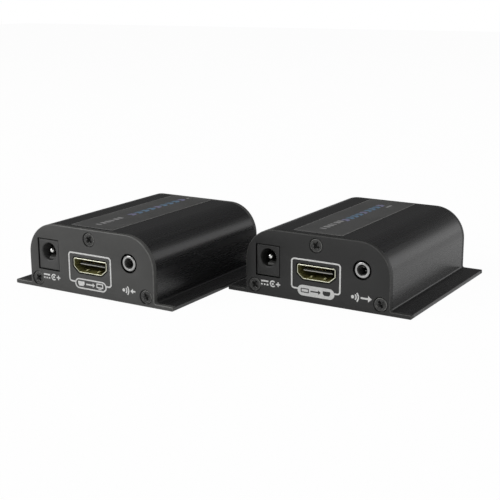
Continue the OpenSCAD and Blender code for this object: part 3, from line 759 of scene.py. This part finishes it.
# Top label
# A satin printed film, cut square and stuck along the flat top, with a pale hairline close to its
# edge. Its print is a plain run of signal shapes: white bars, blue and violet chevrons, a white tick.
# Each run gives its place across the box, and its start and end behind the front face.
label_x, label_y, label_w, label_l, label_t = -1.1, 3.3, 19.0, 61.3, 0.12
label_corner, label_bevel, hairline_w, hairline_set = 0.4, 0.04, 0.24, 0.08
ink_t, ink_root = 0.012, 0.02
film_colour = (0.061, 0.061, 0.060, 1)
bar_w, bar_corner, bar_shares = 2.5, 0.3, (0.45, 0.72, 0.72) * 2
chevron_w, chevron_share, lean_share, chevron_kinds = 2.9, 0.62, 0.30, (4, 3, 3, 3, 4, 3, 3, 3, 4)
label_bars = {"receiver": (-2.0, 7.8, 22.0), "sender": (-2.6, 9.8, 25.0)}
label_chevrons = {"receiver": (-1.9, 25.9, 61.0), "sender": (-1.8, 24.6, 57.4)}
label_ticks = {"receiver": (-1.5, 61.8, 63.6), "sender": (1.6, 53.3, 57.7)}
tick_w, tick_corner = 1.0, 0.25


def ink_skin(name, first, second):
    """Opaque printing ink, a little uneven where the screen laid it thin."""
    return speckled(name, (first, second), (1500.0, 4.0, 0.6), (0.40, 0.58), relief=0.12)


def film_skin():
    made, tree, shader, place = new_finish("satin_label_film")
    cloud = noise(tree, place, 90.0)
    peel = noise(tree, place, 2600.0, 2.0)
    tones = times(film_colour, 0.90), times(film_colour, 1.08)
    wire(tree, (mix_colours(tree, spread(tree, cloud, 0, 1), *tones), shader.inputs["Base Color"]),
         (spread(tree, cloud, 0.46, 0.54), shader.inputs["Roughness"]))
    raise_grain(tree, shader, peel, 0.10, fine_height)
    return made


label_finishes = [
    film_skin(),
    ink_skin("pale_hairline", (0.13, 0.13, 0.127, 1), (0.24, 0.24, 0.235, 1)),
    ink_skin("label_white_ink", (0.19, 0.19, 0.19, 1), (0.29, 0.29, 0.29, 1)),
    ink_skin("label_blue_ink", (0.085, 0.145, 0.215, 1), (0.115, 0.190, 0.280, 1)),
    ink_skin("label_violet_ink", (0.140, 0.140, 0.220, 1), (0.180, 0.180, 0.280, 1)),
]

for unit in UNITS:
    film = Stack(front_centre(unit, label_x, label_y, body_h + label_t), "top")
    edge = standing_box(0, 0, label_w, label_l, label_corner)
    film.rod(edge_steps(edge, label_bevel, 0) + [(edge, label_t)])
    rim = inset(edge, hairline_set)
    film.slab(rim, -ink_t, ink_root, [inset(rim, hairline_w)], 1)

    def stripe(x, start, w, length, r):
        film.slab(standing_box(x - label_x, start - label_y, w, length, r), -ink_t, ink_root, (), 2)

    x, start, end = label_bars[unit]
    step = (end - start) / len(bar_shares)
    for i, share in enumerate(bar_shares):
        stripe(x, start + i * step, bar_w, share * step, bar_corner)
    x, start, end = label_chevrons[unit]
    step = (end - start) / len(chevron_kinds)
    reach, line = step * lean_share, step * chevron_share
    for i, kind in enumerate(chevron_kinds):
        low, middle, half = start - label_y + i * step, x - label_x, chevron_w / 2
        film.slab([(middle - half, low), (middle, low + reach), (middle + half, low),
                   (middle + half, low + line), (middle, low + reach + line), (middle - half, low + line)],
                  -ink_t, ink_root, (), kind)
    x, start, end = label_ticks[unit]
    stripe(x, start, tick_w, end - start, tick_corner)
    label = film.solid(unit + "_printed_label", label_finishes, 30)
    stand_for(label, "label_film", unit + "_top_label")

# Prints on the front plates
# Screen print in white: a frame round the video socket, broken by a badge with a plug, an arrow and
# a screen, the signs for direct current and a positive centre under the power jack, and a lamp with
# its waves and an arrow under the infrared jack. The receiver's badge is open, the sender's is filled.
print_out, badge_out, cross_out, print_in = 0.015, 0.020, 0.018, 0.02
frame_x0, frame_x1, frame_z0, frame_z1 = -9.58, 9.68, 4.4, 15.45
frame_line, frame_corner, frame_end, frame_lap = 0.56, 1.3, 0.02, 0.2
badge_x0, badge_x1, badge_z, badge_h, badge_line = -6.93, 7.35, 4.25, 3.8, 0.5
# Each mark's place from the badge's middle, its width and height, and its corner
badge_marks = {
    "receiver": {"plug": (-4.3, 0, 2.9, 1.7), "screen": (4.1, 0.2, 3.0, 1.7),
                 "glass": (4.1, 0.2, 2.2, 0.9, 0.1), "foot": (4.1, -0.95, 1.5, 0.3, 0.1)},
    "sender": {"plug": (4.1, 0, 2.9, 1.6), "screen": (-4.3, 0, 3.2, 1.6), "glass": (-4.3, 0, 2.5, 0.9, 0.1)},
}
badge_arrow_x, badge_arrow_head, badge_arrow_line = (-2.1, 1.9), 1.0, {"receiver": 0.55, "sender": 0.5}
current_z, current_corner, current_bar, current_dash = 4.75, 0.12, (3.0, 0.6), (0.72, 0.6)
current_x, dash_step, current_rise = -20.2, 1.15, 0.6
centre_x, centre_r, centre_dot_r, centre_line, centre_gap = -16.9, 1.0, 0.42, 0.5, 40
plus_x, plus_w, plus_line, plus_upright, plus_corner = -14.75, 1.7, 0.5, (-14.98, -14.5), 0.1
lamp_places, lamp_r = {"receiver": (15.0, 4.7), "sender": (14.2, 4.8)}, 0.6
lamp_arrows = {"receiver": (5.0, 2.8, 0.6, 1.2), "sender": (3.0, 7.1, 0.65, 1.4)}
wave_radii, wave_line, wave_sweep = (1.3, 2.15), 0.5, 44
arrow_barb, plug_foot, plug_shoulder = 0.8, 0.32, 0.1
white_ink = ink_skin("white_screen_ink", (0.62, 0.62, 0.61, 1), (0.78, 0.78, 0.77, 1))
badge_ink = ink_skin("badge_ink", (0.56, 0.56, 0.55, 1), (0.70, 0.70, 0.69, 1))


def wave(x, z, r, line, first, last, steps=10):
    """A curved line with square ends, as an outline."""
    return (arc(x, z, r + line / 2, first, last, steps)
            + arc(x, z, r - line / 2, first, last, steps)[::-1])


def arrow(x0, x1, z, line, head):
    """An arrow from x0 to x1, as an outline that runs anticlockwise."""
    way = 1 if x1 > x0 else -1
    neck = x1 - way * head
    low, high = z - way * head * arrow_barb, z + way * head * arrow_barb
    line_low, line_high = z - way * line / 2, z + way * line / 2
    return [(x0, line_low), (neck, line_low), (neck, low), (x1, z),
            (neck, high), (neck, line_high), (x0, line_high)]


def plug_sign(x, z, w, h):
    foot, low, high, shoulder = w * plug_foot, z - h / 2, z + h / 2, z - h * plug_shoulder
    return [(x - foot, low), (x + foot, low), (x + w / 2, shoulder),
            (x + w / 2, high), (x - w / 2, high), (x - w / 2, shoulder)]


def pill(x0, x1, z, r, steps=14):
    return arc(x1 - r, z, r, -90, 90, steps) + arc(x0 + r, z, r, 90, 270, steps)


for unit in UNITS:
    ink = Stack(front_centre(unit))

    def sign(outline, holes=(), kind=0, out=print_out):
        ink.slab(outline, -out, print_in, holes, kind)

    left, right, turn = badge_x0 + frame_lap, badge_x1 - frame_lap, frame_corner - frame_line
    x0, x1 = frame_x0 + frame_line, frame_x1 - frame_line
    z0, z1 = frame_z0 + frame_line, frame_z1 - frame_line
    sign(rounded_corners(
        [(right, frame_z0), (frame_x1, frame_z0), (frame_x1, frame_z1), (frame_x0, frame_z1),
         (frame_x0, frame_z0), (left, frame_z0), (left, z0), (x0, z0), (x0, z1), (x1, z1), (x1, z0),
         (right, z0)],
        [frame_end] + [frame_corner] * 4 + [frame_end] * 2 + [turn] * 4 + [frame_end]))
    badge = pill(badge_x0, badge_x1, badge_z, badge_h / 2)
    middle = (badge_x0 + badge_x1) / 2
    marks = {mark: (middle + x, badge_z + z, *rest) for mark, (x, z, *rest) in badge_marks[unit].items()}
    pointer = arrow(*(middle + x for x in badge_arrow_x), badge_z, badge_arrow_line[unit], badge_arrow_head)
    if unit == "receiver":
        sign(badge, [inset(badge, badge_line)], out=badge_out)
        sign(plug_sign(*marks["plug"]))
        sign(pointer)
        sign(centred_box(*marks["screen"]), [centred_box(*marks["glass"])])
        sign(centred_box(*marks["foot"]))
    else:
        sign(badge, [plug_sign(*marks["plug"]), pointer, centred_box(*marks["screen"])], 1, badge_out)
        sign(centred_box(*marks["glass"]), kind=1)
    # Direct current, then a positive centre
    z = current_z
    sign(centred_box(current_x, z + current_rise, *current_bar, current_corner))
    for i in (-1, 0, 1):
        sign(centred_box(current_x + i * dash_step, z - current_rise, *current_dash, current_corner))
    sign(wave(centre_x, z, centre_r, centre_line, centre_gap, 360 - centre_gap))
    sign(round_loop(centre_x, z, centre_dot_r, 16))
    sign(centred_box(plus_x, z, plus_w, plus_line, current_corner))
    x0, x1 = plus_upright
    sign(rounded_box(x0, z - plus_w / 2, x1, z + plus_w / 2, plus_corner, 3), out=cross_out)
    # Infrared lamp, its waves and the way they go
    x, z = lamp_places[unit]
    sign(round_loop(x, z, lamp_r, 20))
    for r in wave_radii:
        sign(wave(x, z, r, wave_line, -wave_sweep, wave_sweep))
    start, end, line, head = lamp_arrows[unit]
    sign(arrow(x + start, x + end, z, line, head))
    print_piece = ink.solid(unit + "_front_print", [white_ink, badge_ink], 30)
    stand_for(print_piece, "plate_anodised", unit + "_front_plate")

# Video socket
# A shell bent from nickel-plated sheet with a rolled lip and four spring fingers, a black tongue that
# stands in the shell, and gold strips in two rows on the tongue with their tails on the board. The lip
# and the crests of the lower two fingers are lighter as painted highlights, the shell's inside is a dim
# olive as painted shade, and a pale strip along the tongue's nose is a painted highlight of its edge.
shell_l, shell_sheet, lip_r = 11.5, 0.4, 0.17
tongue_w, tongue_t, tongue_drop, tongue_set, tongue_block_l = 11.4, 1.1, 1.25, 1.5, 3.2
tongue_corner, tongue_bevel, tongue_block_gap = 0.3, 0.16, 0.05
nose_highlight_w, nose_highlight_h, nose_highlight_low, nose_highlight_out, nose_highlight_in = 11.2, 0.26, 0.30, 0.04, 0.3
upper_strips, lower_strips, strip_pitch, strip_w, strip_t = 10, 9, 1.0, 0.45, 0.12
strip_set, strip_bevel, strip_ramp = 0.5, 0.045, 0.12
tails, tail_pitch, tail_w, tail_t, tail_l, tail_h = 19, 0.5, 0.25, 0.2, 1.3, 1.4
leg_l, leg_depth, leg_below, leg_shares = 1.6, 3.2, 2.2, (0.33, 0.8)
finger_x, finger_w, finger_l, finger_y, finger_t = 2.6, 0.9, 3.6, 0.6, 0.16
finger_bow, finger_root, finger_parts = 0.42, 0.02, 8
finger_crest, finger_curve, finger_taper = 1.15, 1.5, 0.25
leg_corner, finger_corner, nose_highlight_corner, strip_corner, tail_corner = 0.08, 0.05, 0.08, 0.04, 0.03


def metal_skin(name, first, second, rough, metallic=1.0):
    """Plated metal with fine mottling."""
    return speckled(name, (first, second), (900.0, 4.0, 0.6), (rough - 0.05, rough + 0.07), relief=0.08,
                    Metallic=metallic)


def plastic_skin(name, colour, rough=0.5, sheen=0.5):
    """Moulded plastic with the fine grain of its mould."""
    return speckled(name, (times(colour, 0.85), times(colour, 1.15)), (260.0, 2.0),
                    (rough - 0.06, rough + 0.08), (3200.0, 3.0, 0.6), 0.2, Specular_IOR_Level=sheen)


row, given, result, spots, skin = copies_tree("row_of_like_pieces", (
    ("Count", "NodeSocketInt"), ("Step", "NodeSocketVector")))
line = row.nodes.new("GeometryNodeMeshLine")
line.mode = "OFFSET"
wire(row, (given.outputs["Count"], line.inputs["Count"]), (given.outputs["Step"], line.inputs["Offset"]),
     (line.outputs["Mesh"], spots.inputs["Points"]), (skin.outputs[0], result.inputs["Geometry"]))


def row_of(name, pattern, count, step, made):
    """Repeats a pattern, which stands where its first copy goes, and drops the pattern."""
    piece = flat_mesh(name, [], [])
    bake_tree(piece, row, {"Pattern": pattern, "Count": count, "Step": Vector(step) * MM, "Skin": made})
    settle(piece, 35)
    bpy.data.objects.remove(pattern)
    return piece


def piece_of(name, work, made):
    """A piece with the mesh that was worked on, in one finish."""
    piece = flat_mesh(name, [], [])
    work.to_mesh(piece.data)
    work.free()
    piece.data.materials.append(made)
    return piece


def joined(name, pieces):
    """Makes one piece of several, each still a closed solid of its own."""
    work = bmesh.new()
    for piece in pieces:
        work.from_mesh(piece.data)
    whole = piece_of(name, work, pieces[0].data.materials[0])
    for piece in pieces:
        bpy.data.objects.remove(piece)
    settle(whole, 35)
    return whole


shell_finishes = [
    metal_skin("socket_nickel_plate", (0.50, 0.48, 0.36, 1), (0.66, 0.64, 0.50, 1), 0.30),
    # The shell's inside and its fingers are the same nickel plating, given a dim olive tone that paints the
    # shade inside the shell.
    metal_skin("socket_inside_nickel", (0.15, 0.142, 0.052, 1), (0.26, 0.245, 0.095, 1), 0.45, 0.35),
    # The rolled lip is the same plating, lighter as a painted highlight where it faces the front.
    metal_skin("socket_rolled_lip", (0.64, 0.64, 0.51, 1), (0.74, 0.74, 0.61, 1), 0.34),
    # The crests of the lower fingers are the same plating, lighter as a painted glint.
    metal_skin("socket_rubbed_finger", (0.66, 0.64, 0.36, 1), (0.80, 0.78, 0.48, 1), 0.45, 0.3),
]
tongue_finishes = [
    plastic_skin("tongue_plastic", (0.012, 0.012, 0.007, 1), 0.5, 0.2),
    # The pale nose is a painted highlight of the black tongue's front edge.
    plastic_skin("tongue_nose", (0.50, 0.50, 0.47, 1), 0.40),
]
gold = metal_skin("gold_plate", (0.70, 0.52, 0.20, 1), (0.86, 0.68, 0.32, 1), 0.26)

for unit in UNITS:
    at = front_centre(unit, video_x, 0, board_top + video_rise)
    shell = Stack(at)
    outer = video_outline(0)
    bore = video_outline(-shell_sheet)[::-1]
    ends = [shell.tube(edge_steps(outer, lip_r, 0) + [(outer, shell_l)], [2, 2, 2, 0]),
            shell.tube(edge_steps(bore, lip_r, 0) + [(bore, shell_l)], [2, 1, 1, 1])]
    shell.close(ends, 2)
    for side in (-1, 1):
        x = side * (video_w - shell_sheet) / 2
        leg = standing_box(x, -video_rise - leg_below, shell_sheet, leg_depth + leg_below, leg_corner)
        for share in leg_shares:
            middle = share * shell_l
            shell.slab(leg, middle - leg_l / 2, middle + leg_l / 2)
        # Spring fingers, bowed in from the top and the bottom of the shell
        for low, way in ((shell_sheet, 1), (video_h - shell_sheet, -1)):
            rings = []
            for i in range(finger_parts + 1):
                t = i / finger_parts
                bow = finger_bow * math.sin(math.pi * min(1, t * finger_crest)) ** finger_curve + finger_root
                w = finger_w * (1 - finger_taper * (1 - t))
                loop = centred_box(side * finger_x, low + way * (bow + finger_t / 2), w, finger_t,
                                   finger_corner, 2)
                rings.append((loop, finger_y + finger_l * t))
            shell.rod(rings, [1, 3, 3, 3, 1, 1, 1, 1] if way > 0 else [1] * finger_parts, 1)
    stand_for(shell.solid(unit + "_video_socket_sheet", shell_finishes, 35), "socket_nickel",
              unit + "_video_socket_shell")

    block_y = shell_l - tongue_block_l
    top = video_h - shell_sheet - tongue_drop
    tongue = Stack(at)
    blade = standing_box(0, top - tongue_t, tongue_w, tongue_t, tongue_corner)
    tongue.rod(edge_steps(blade, tongue_bevel, tongue_set) + [(blade, block_y)])
    tongue.slab(video_outline(-shell_sheet - tongue_block_gap), block_y, shell_l)
    # A pale strip along the tongue's nose, a painted highlight of the tongue's front edge.
    nose_highlight = standing_box(0, top - tongue_t + nose_highlight_low, nose_highlight_w, nose_highlight_h, nose_highlight_corner, 3)
    tongue.slab(nose_highlight, tongue_set - nose_highlight_out, tongue_set + nose_highlight_in, (), 1)
    stand_for(tongue.solid(unit + "_video_socket_blade", tongue_finishes, 35), "black_plastic",
              unit + "_video_socket_tongue")

    rows = []
    for count, z0 in ((upper_strips, top), (lower_strips, top - tongue_t - strip_t)):
        x = -(count - 1) / 2 * strip_pitch
        strip = Stack(at)
        loop = standing_box(x, z0, strip_w, strip_t, strip_corner, 2)
        start = tongue_set + strip_set
        strip.rod([(inset(loop, strip_bevel), start), (loop, start + strip_ramp), (loop, block_y)])
        rows.append(row_of("strips", strip.solid("strip", [gold]), count, (strip_pitch, 0, 0), gold))
    x = -(tails - 1) / 2 * tail_pitch
    tail = Stack(at)
    for z1, reach in ((tail_t, tail_l), (tail_h, tail_t)):
        tail.slab(standing_box(x, -video_rise, tail_w, z1, tail_corner, 2), shell_l, shell_l + reach)
    rows.append(row_of("tails", tail.solid("tail", [gold]), tails, (tail_pitch, 0, 0), gold))
    stand_for(joined(unit + "_video_socket_strips", rows), "gold_contact", unit + "_video_socket_contacts")

# Power jack
# A moulded block in glass-filled black plastic that carries the plug hole, a turned centre pin of
# bright nickel with a domed tip, riveted through the back, and a contact leaf of spring bronze,
# whose dull free end rises in the plug hole beside the pin.
# The sender's jack face is darker than the receiver's as painted shade, as on its plate; both blocks are of
# one plastic.
power_face_colour_with_painted_shade = {"receiver": (0.050, 0.050, 0.049, 1), "sender": (0.0165, 0.0165, 0.016, 1)}
pin_bevel, block_bevel, leaf_bevel, tip_corner = 0.08, 0.22, 0.04, 0.08
tip_x, tip_w, tip_t, tip_low, tip_rise = 0.9, 2.6, 0.3, -2.75, 0.9
tip_start, tip_end, tip_bend = 0.9, 3.3, ((0, 0), (0.1, 0.5), (0.5, 0.9), (1, 1))


def softened(name, node, bevel, made, angle=32.0):
    """A copy of a CAD node with its sharp edges rounded over, as moulded and pressed parts have."""
    work = bmesh.new()
    work.from_mesh(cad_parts[node].data)
    bmesh.ops.remove_doubles(work, verts=work.verts, dist=2e-7)
    bmesh.ops.dissolve_limit(work, verts=work.verts, edges=work.edges, angle_limit=math.radians(1.0))
    piece = piece_of(name, work, made)
    edge = piece.modifiers.new("edge", "BEVEL")
    edge.limit_method = "ANGLE"
    edge.angle_limit = math.radians(angle)
    edge.width = bevel * MM
    edge.segments = 2
    edge.use_clamp_overlap = True
    bake(piece, edge)
    settle(piece, angle)
    return piece


def soften(unit, rows):
    """Stands softened copies for the unit's nodes, each given as in softened, with its slot."""
    for piece, node, slot, *rest in rows:
        stand_for(softened(unit + piece, unit + node, *rest), slot, unit + node)


bright_nickel = metal_skin("bright_nickel", (0.72, 0.72, 0.70, 1), (0.88, 0.88, 0.86, 1), 0.20)
dull_leaf = metal_skin("dull_leaf", (0.028, 0.028, 0.027, 1), (0.050, 0.050, 0.048, 1), 0.55, 0.2)
spring_bronze = metal_skin("spring_bronze", (0.60, 0.50, 0.30, 1), (0.74, 0.64, 0.42, 1), 0.32)

for unit in UNITS:
    block_plastic = plastic_skin(unit + "_power_jack_plastic", power_face_colour_with_painted_shade[unit], 0.5)
    soften(unit, (
        ("_power_jack_block", "_power_jack_body", "black_plastic", block_bevel, block_plastic),
        ("_power_jack_centre_pin", "_power_jack_pin", "bright_nickel", pin_bevel, bright_nickel, 40),
        ("_power_jack_leaf", "_power_jack_spring", "spring_bronze", leaf_bevel, spring_bronze),
    ))
    end = Stack(front_centre(unit, power_x, 0, board_top + power_axis))
    rings = []
    for share, rise in tip_bend:
        loop = standing_box(tip_x, tip_low + tip_rise * rise, tip_w, tip_t, tip_corner, 2)
        rings.append((loop, tip_start + (tip_end - tip_start) * share))
    end.rod(rings)
    stand_for(end.solid(unit + "_power_jack_leaf_end", [dull_leaf], 40), "spring_bronze",
              unit + "_power_jack_spring")

# Infrared jack
# A nickel-plated barrel, turned with a rounded nose, pressed into a moulded block; its mouth is lighter
# as a painted highlight and its bore darker as painted shade. Two plated leaves reach into the plug hole
# behind it, with their tips seen through the mouth.
# Each tip has its place across and up, and how far it leans.
barrel_r, barrel_bore_r, barrel_l = 2.78, 1.8, 3.6
nose_r, mouth_r, mouth_l = 0.35, 0.32, 1.6
leaf_w, leaf_t, leaf_y, leaf_corner = 1.2, 0.22, 2.6, 0.06
leaf_tips, leaf_bend = ((-0.75, 0.75, 0.28), (0.55, -0.85, -0.22)), ((-1, 0), (0.2, 0.6), (1.2, 2.2))
barrel_finishes = [
    metal_skin("barrel_nickel", (0.36, 0.36, 0.355, 1), (0.48, 0.48, 0.475, 1), 0.30),
    # The mouth's lighter tone is a painted highlight and the bore's darker tone is painted shade; the barrel
    # is one nickel plating.
    metal_skin("barrel_mouth", (0.60, 0.60, 0.59, 1), (0.78, 0.78, 0.77, 1), 0.25),
    metal_skin("barrel_bored_inside", (0.10, 0.10, 0.098, 1), (0.19, 0.19, 0.185, 1), 0.45, 0.4),
]
dull_tip = metal_skin("dull_tip", (0.26, 0.26, 0.25, 1), (0.40, 0.40, 0.39, 1), 0.45, 0.4)
infrared_plastic = plastic_skin("infrared_jack_plastic", (0.024, 0.024, 0.024, 1), 0.48)

for unit in UNITS:
    at = front_centre(unit, infrared_x, 0, board_top + infrared_axis)
    barrel = Stack(at)
    outer, bore = round_loop(0, 0, barrel_r, 72), round_loop(0, 0, barrel_bore_r, 72)[::-1]
    ends = [barrel.tube(edge_steps(outer, nose_r, 0, count=5) + [(outer, barrel_l)]),
            barrel.tube(edge_steps(bore, mouth_r, 0, count=5) + [(bore, mouth_l), (bore, barrel_l)],
                        [1, 2, 2, 2, 2, 2, 2])]
    barrel.close(ends)
    stand_for(barrel.solid(unit + "_infrared_jack_sleeve", barrel_finishes, 30), "bright_nickel",
              unit + "_infrared_jack_barrel")
    soften(unit, (
        ("_infrared_jack_block", "_infrared_jack_body", "black_plastic", block_bevel, infrared_plastic),
        ("_infrared_jack_legs", "_infrared_jack_springs", "spring_bronze", leaf_bevel, spring_bronze),
    ))
    tips = Stack(at)
    for x, z, lean in leaf_tips:
        loop = centred_box(x, z, leaf_w, leaf_t, leaf_corner, 2)
        tips.rod([(shift(loop, 0, lean * share), leaf_y + depth) for share, depth in leaf_bend])
    stand_for(tips.solid(unit + "_infrared_jack_leaf_tips", [dull_tip], 40), "spring_bronze",
              unit + "_infrared_jack_springs")

# Network jack
# A shield folded from nickel-plated sheet round a black insert with the plug's opening and its
# latch step, eight gold wires sprung down from the roof, and two milky light guides above.
shield_bevel, insert_bevel, wire_bevel, light_bevel = 0.12, 0.10, 0.05, 0.15
shield_nickel = metal_skin("shield_nickel", (0.48, 0.48, 0.46, 1), (0.62, 0.62, 0.60, 1), 0.34)
insert_plastic = plastic_skin("network_jack_plastic", (0.020, 0.020, 0.020, 1), 0.46)


light_colour, light_depth = (0.62, 0.66, 0.50, 1), (0.001, 0.001, 0.0006)
light_guide = speckled("milky_light_guide", (times(light_colour, 0.8), times(light_colour, 1.1)),
                       (500.0, 2.0), (0.20, 0.34), height=broad_height, Subsurface_Weight=0.3,
                       Subsurface_Radius=light_depth)

for unit in UNITS:
    soften(unit, (
        ("_network_jack_folded_shield", "_network_jack_shield", "socket_nickel", shield_bevel, shield_nickel),
        ("_network_jack_insert", "_network_jack_body", "black_plastic", insert_bevel, insert_plastic),
        ("_network_jack_wires", "_network_jack_contacts", "gold_contact", wire_bevel, gold),
        ("_light_guides", "_status_lights", "light_pipe", light_bevel, light_guide),
    ))

# Circuit board and what stands on it
# Glass laminate under a green solder mask, with resin packages, drawn cans and a finned heat sink
# in black anodised aluminium. All of it lies inside the housing and keeps its shape from the CAD.
weave_turn = 0.785


def board_skin():
    made, tree, shader, place = new_finish("green_solder_mask")
    weave = node_at(tree, "ShaderNodeTexBrick", Scale=420.0, Mortar_Size=0.06,
                    Mortar=(0.010, 0.085, 0.038, 1), Color1=(0.012, 0.105, 0.045, 1),
                    Color2=(0.016, 0.125, 0.055, 1))
    fit = node_at(tree, "ShaderNodeMapping", Rotation=(0, 0, weave_turn))
    cloud = noise(tree, place, 180.0)
    wire(tree, (place, fit.inputs["Vector"]), (fit.outputs[0], weave.inputs["Vector"]),
         (weave.outputs["Color"], shader.inputs["Base Color"]),
         (spread(tree, cloud, 0.24, 0.38), shader.inputs["Roughness"]))
    raise_grain(tree, shader, weave.outputs["Fac"], 0.15, broad_height)
    return made


inner_finishes = {
    "_circuit_board": board_skin(),
    "_main_chip": plastic_skin("chip_resin", (0.022, 0.022, 0.023, 1), 0.55),
    "_heat_sink": black_anodised,
    "_small_chips": plastic_skin("small_chip_resin", (0.024, 0.024, 0.025, 1), 0.52),
    "_capacitors": metal_skin("drawn_can_aluminium", (0.58, 0.58, 0.59, 1), (0.74, 0.74, 0.75, 1), 0.32),
    "_power_inductor": plastic_skin("pressed_ferrite", (0.050, 0.050, 0.054, 1), 0.62),
    "_crystal": metal_skin("drawn_can_steel", (0.60, 0.60, 0.60, 1), (0.76, 0.76, 0.76, 1), 0.26),
    "_line_transformer": plastic_skin("transformer_resin", (0.018, 0.018, 0.019, 1), 0.45),
}
for unit in UNITS:
    for node, made in inner_finishes.items():
        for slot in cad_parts[unit + node].material_slots:
            slot.material = made
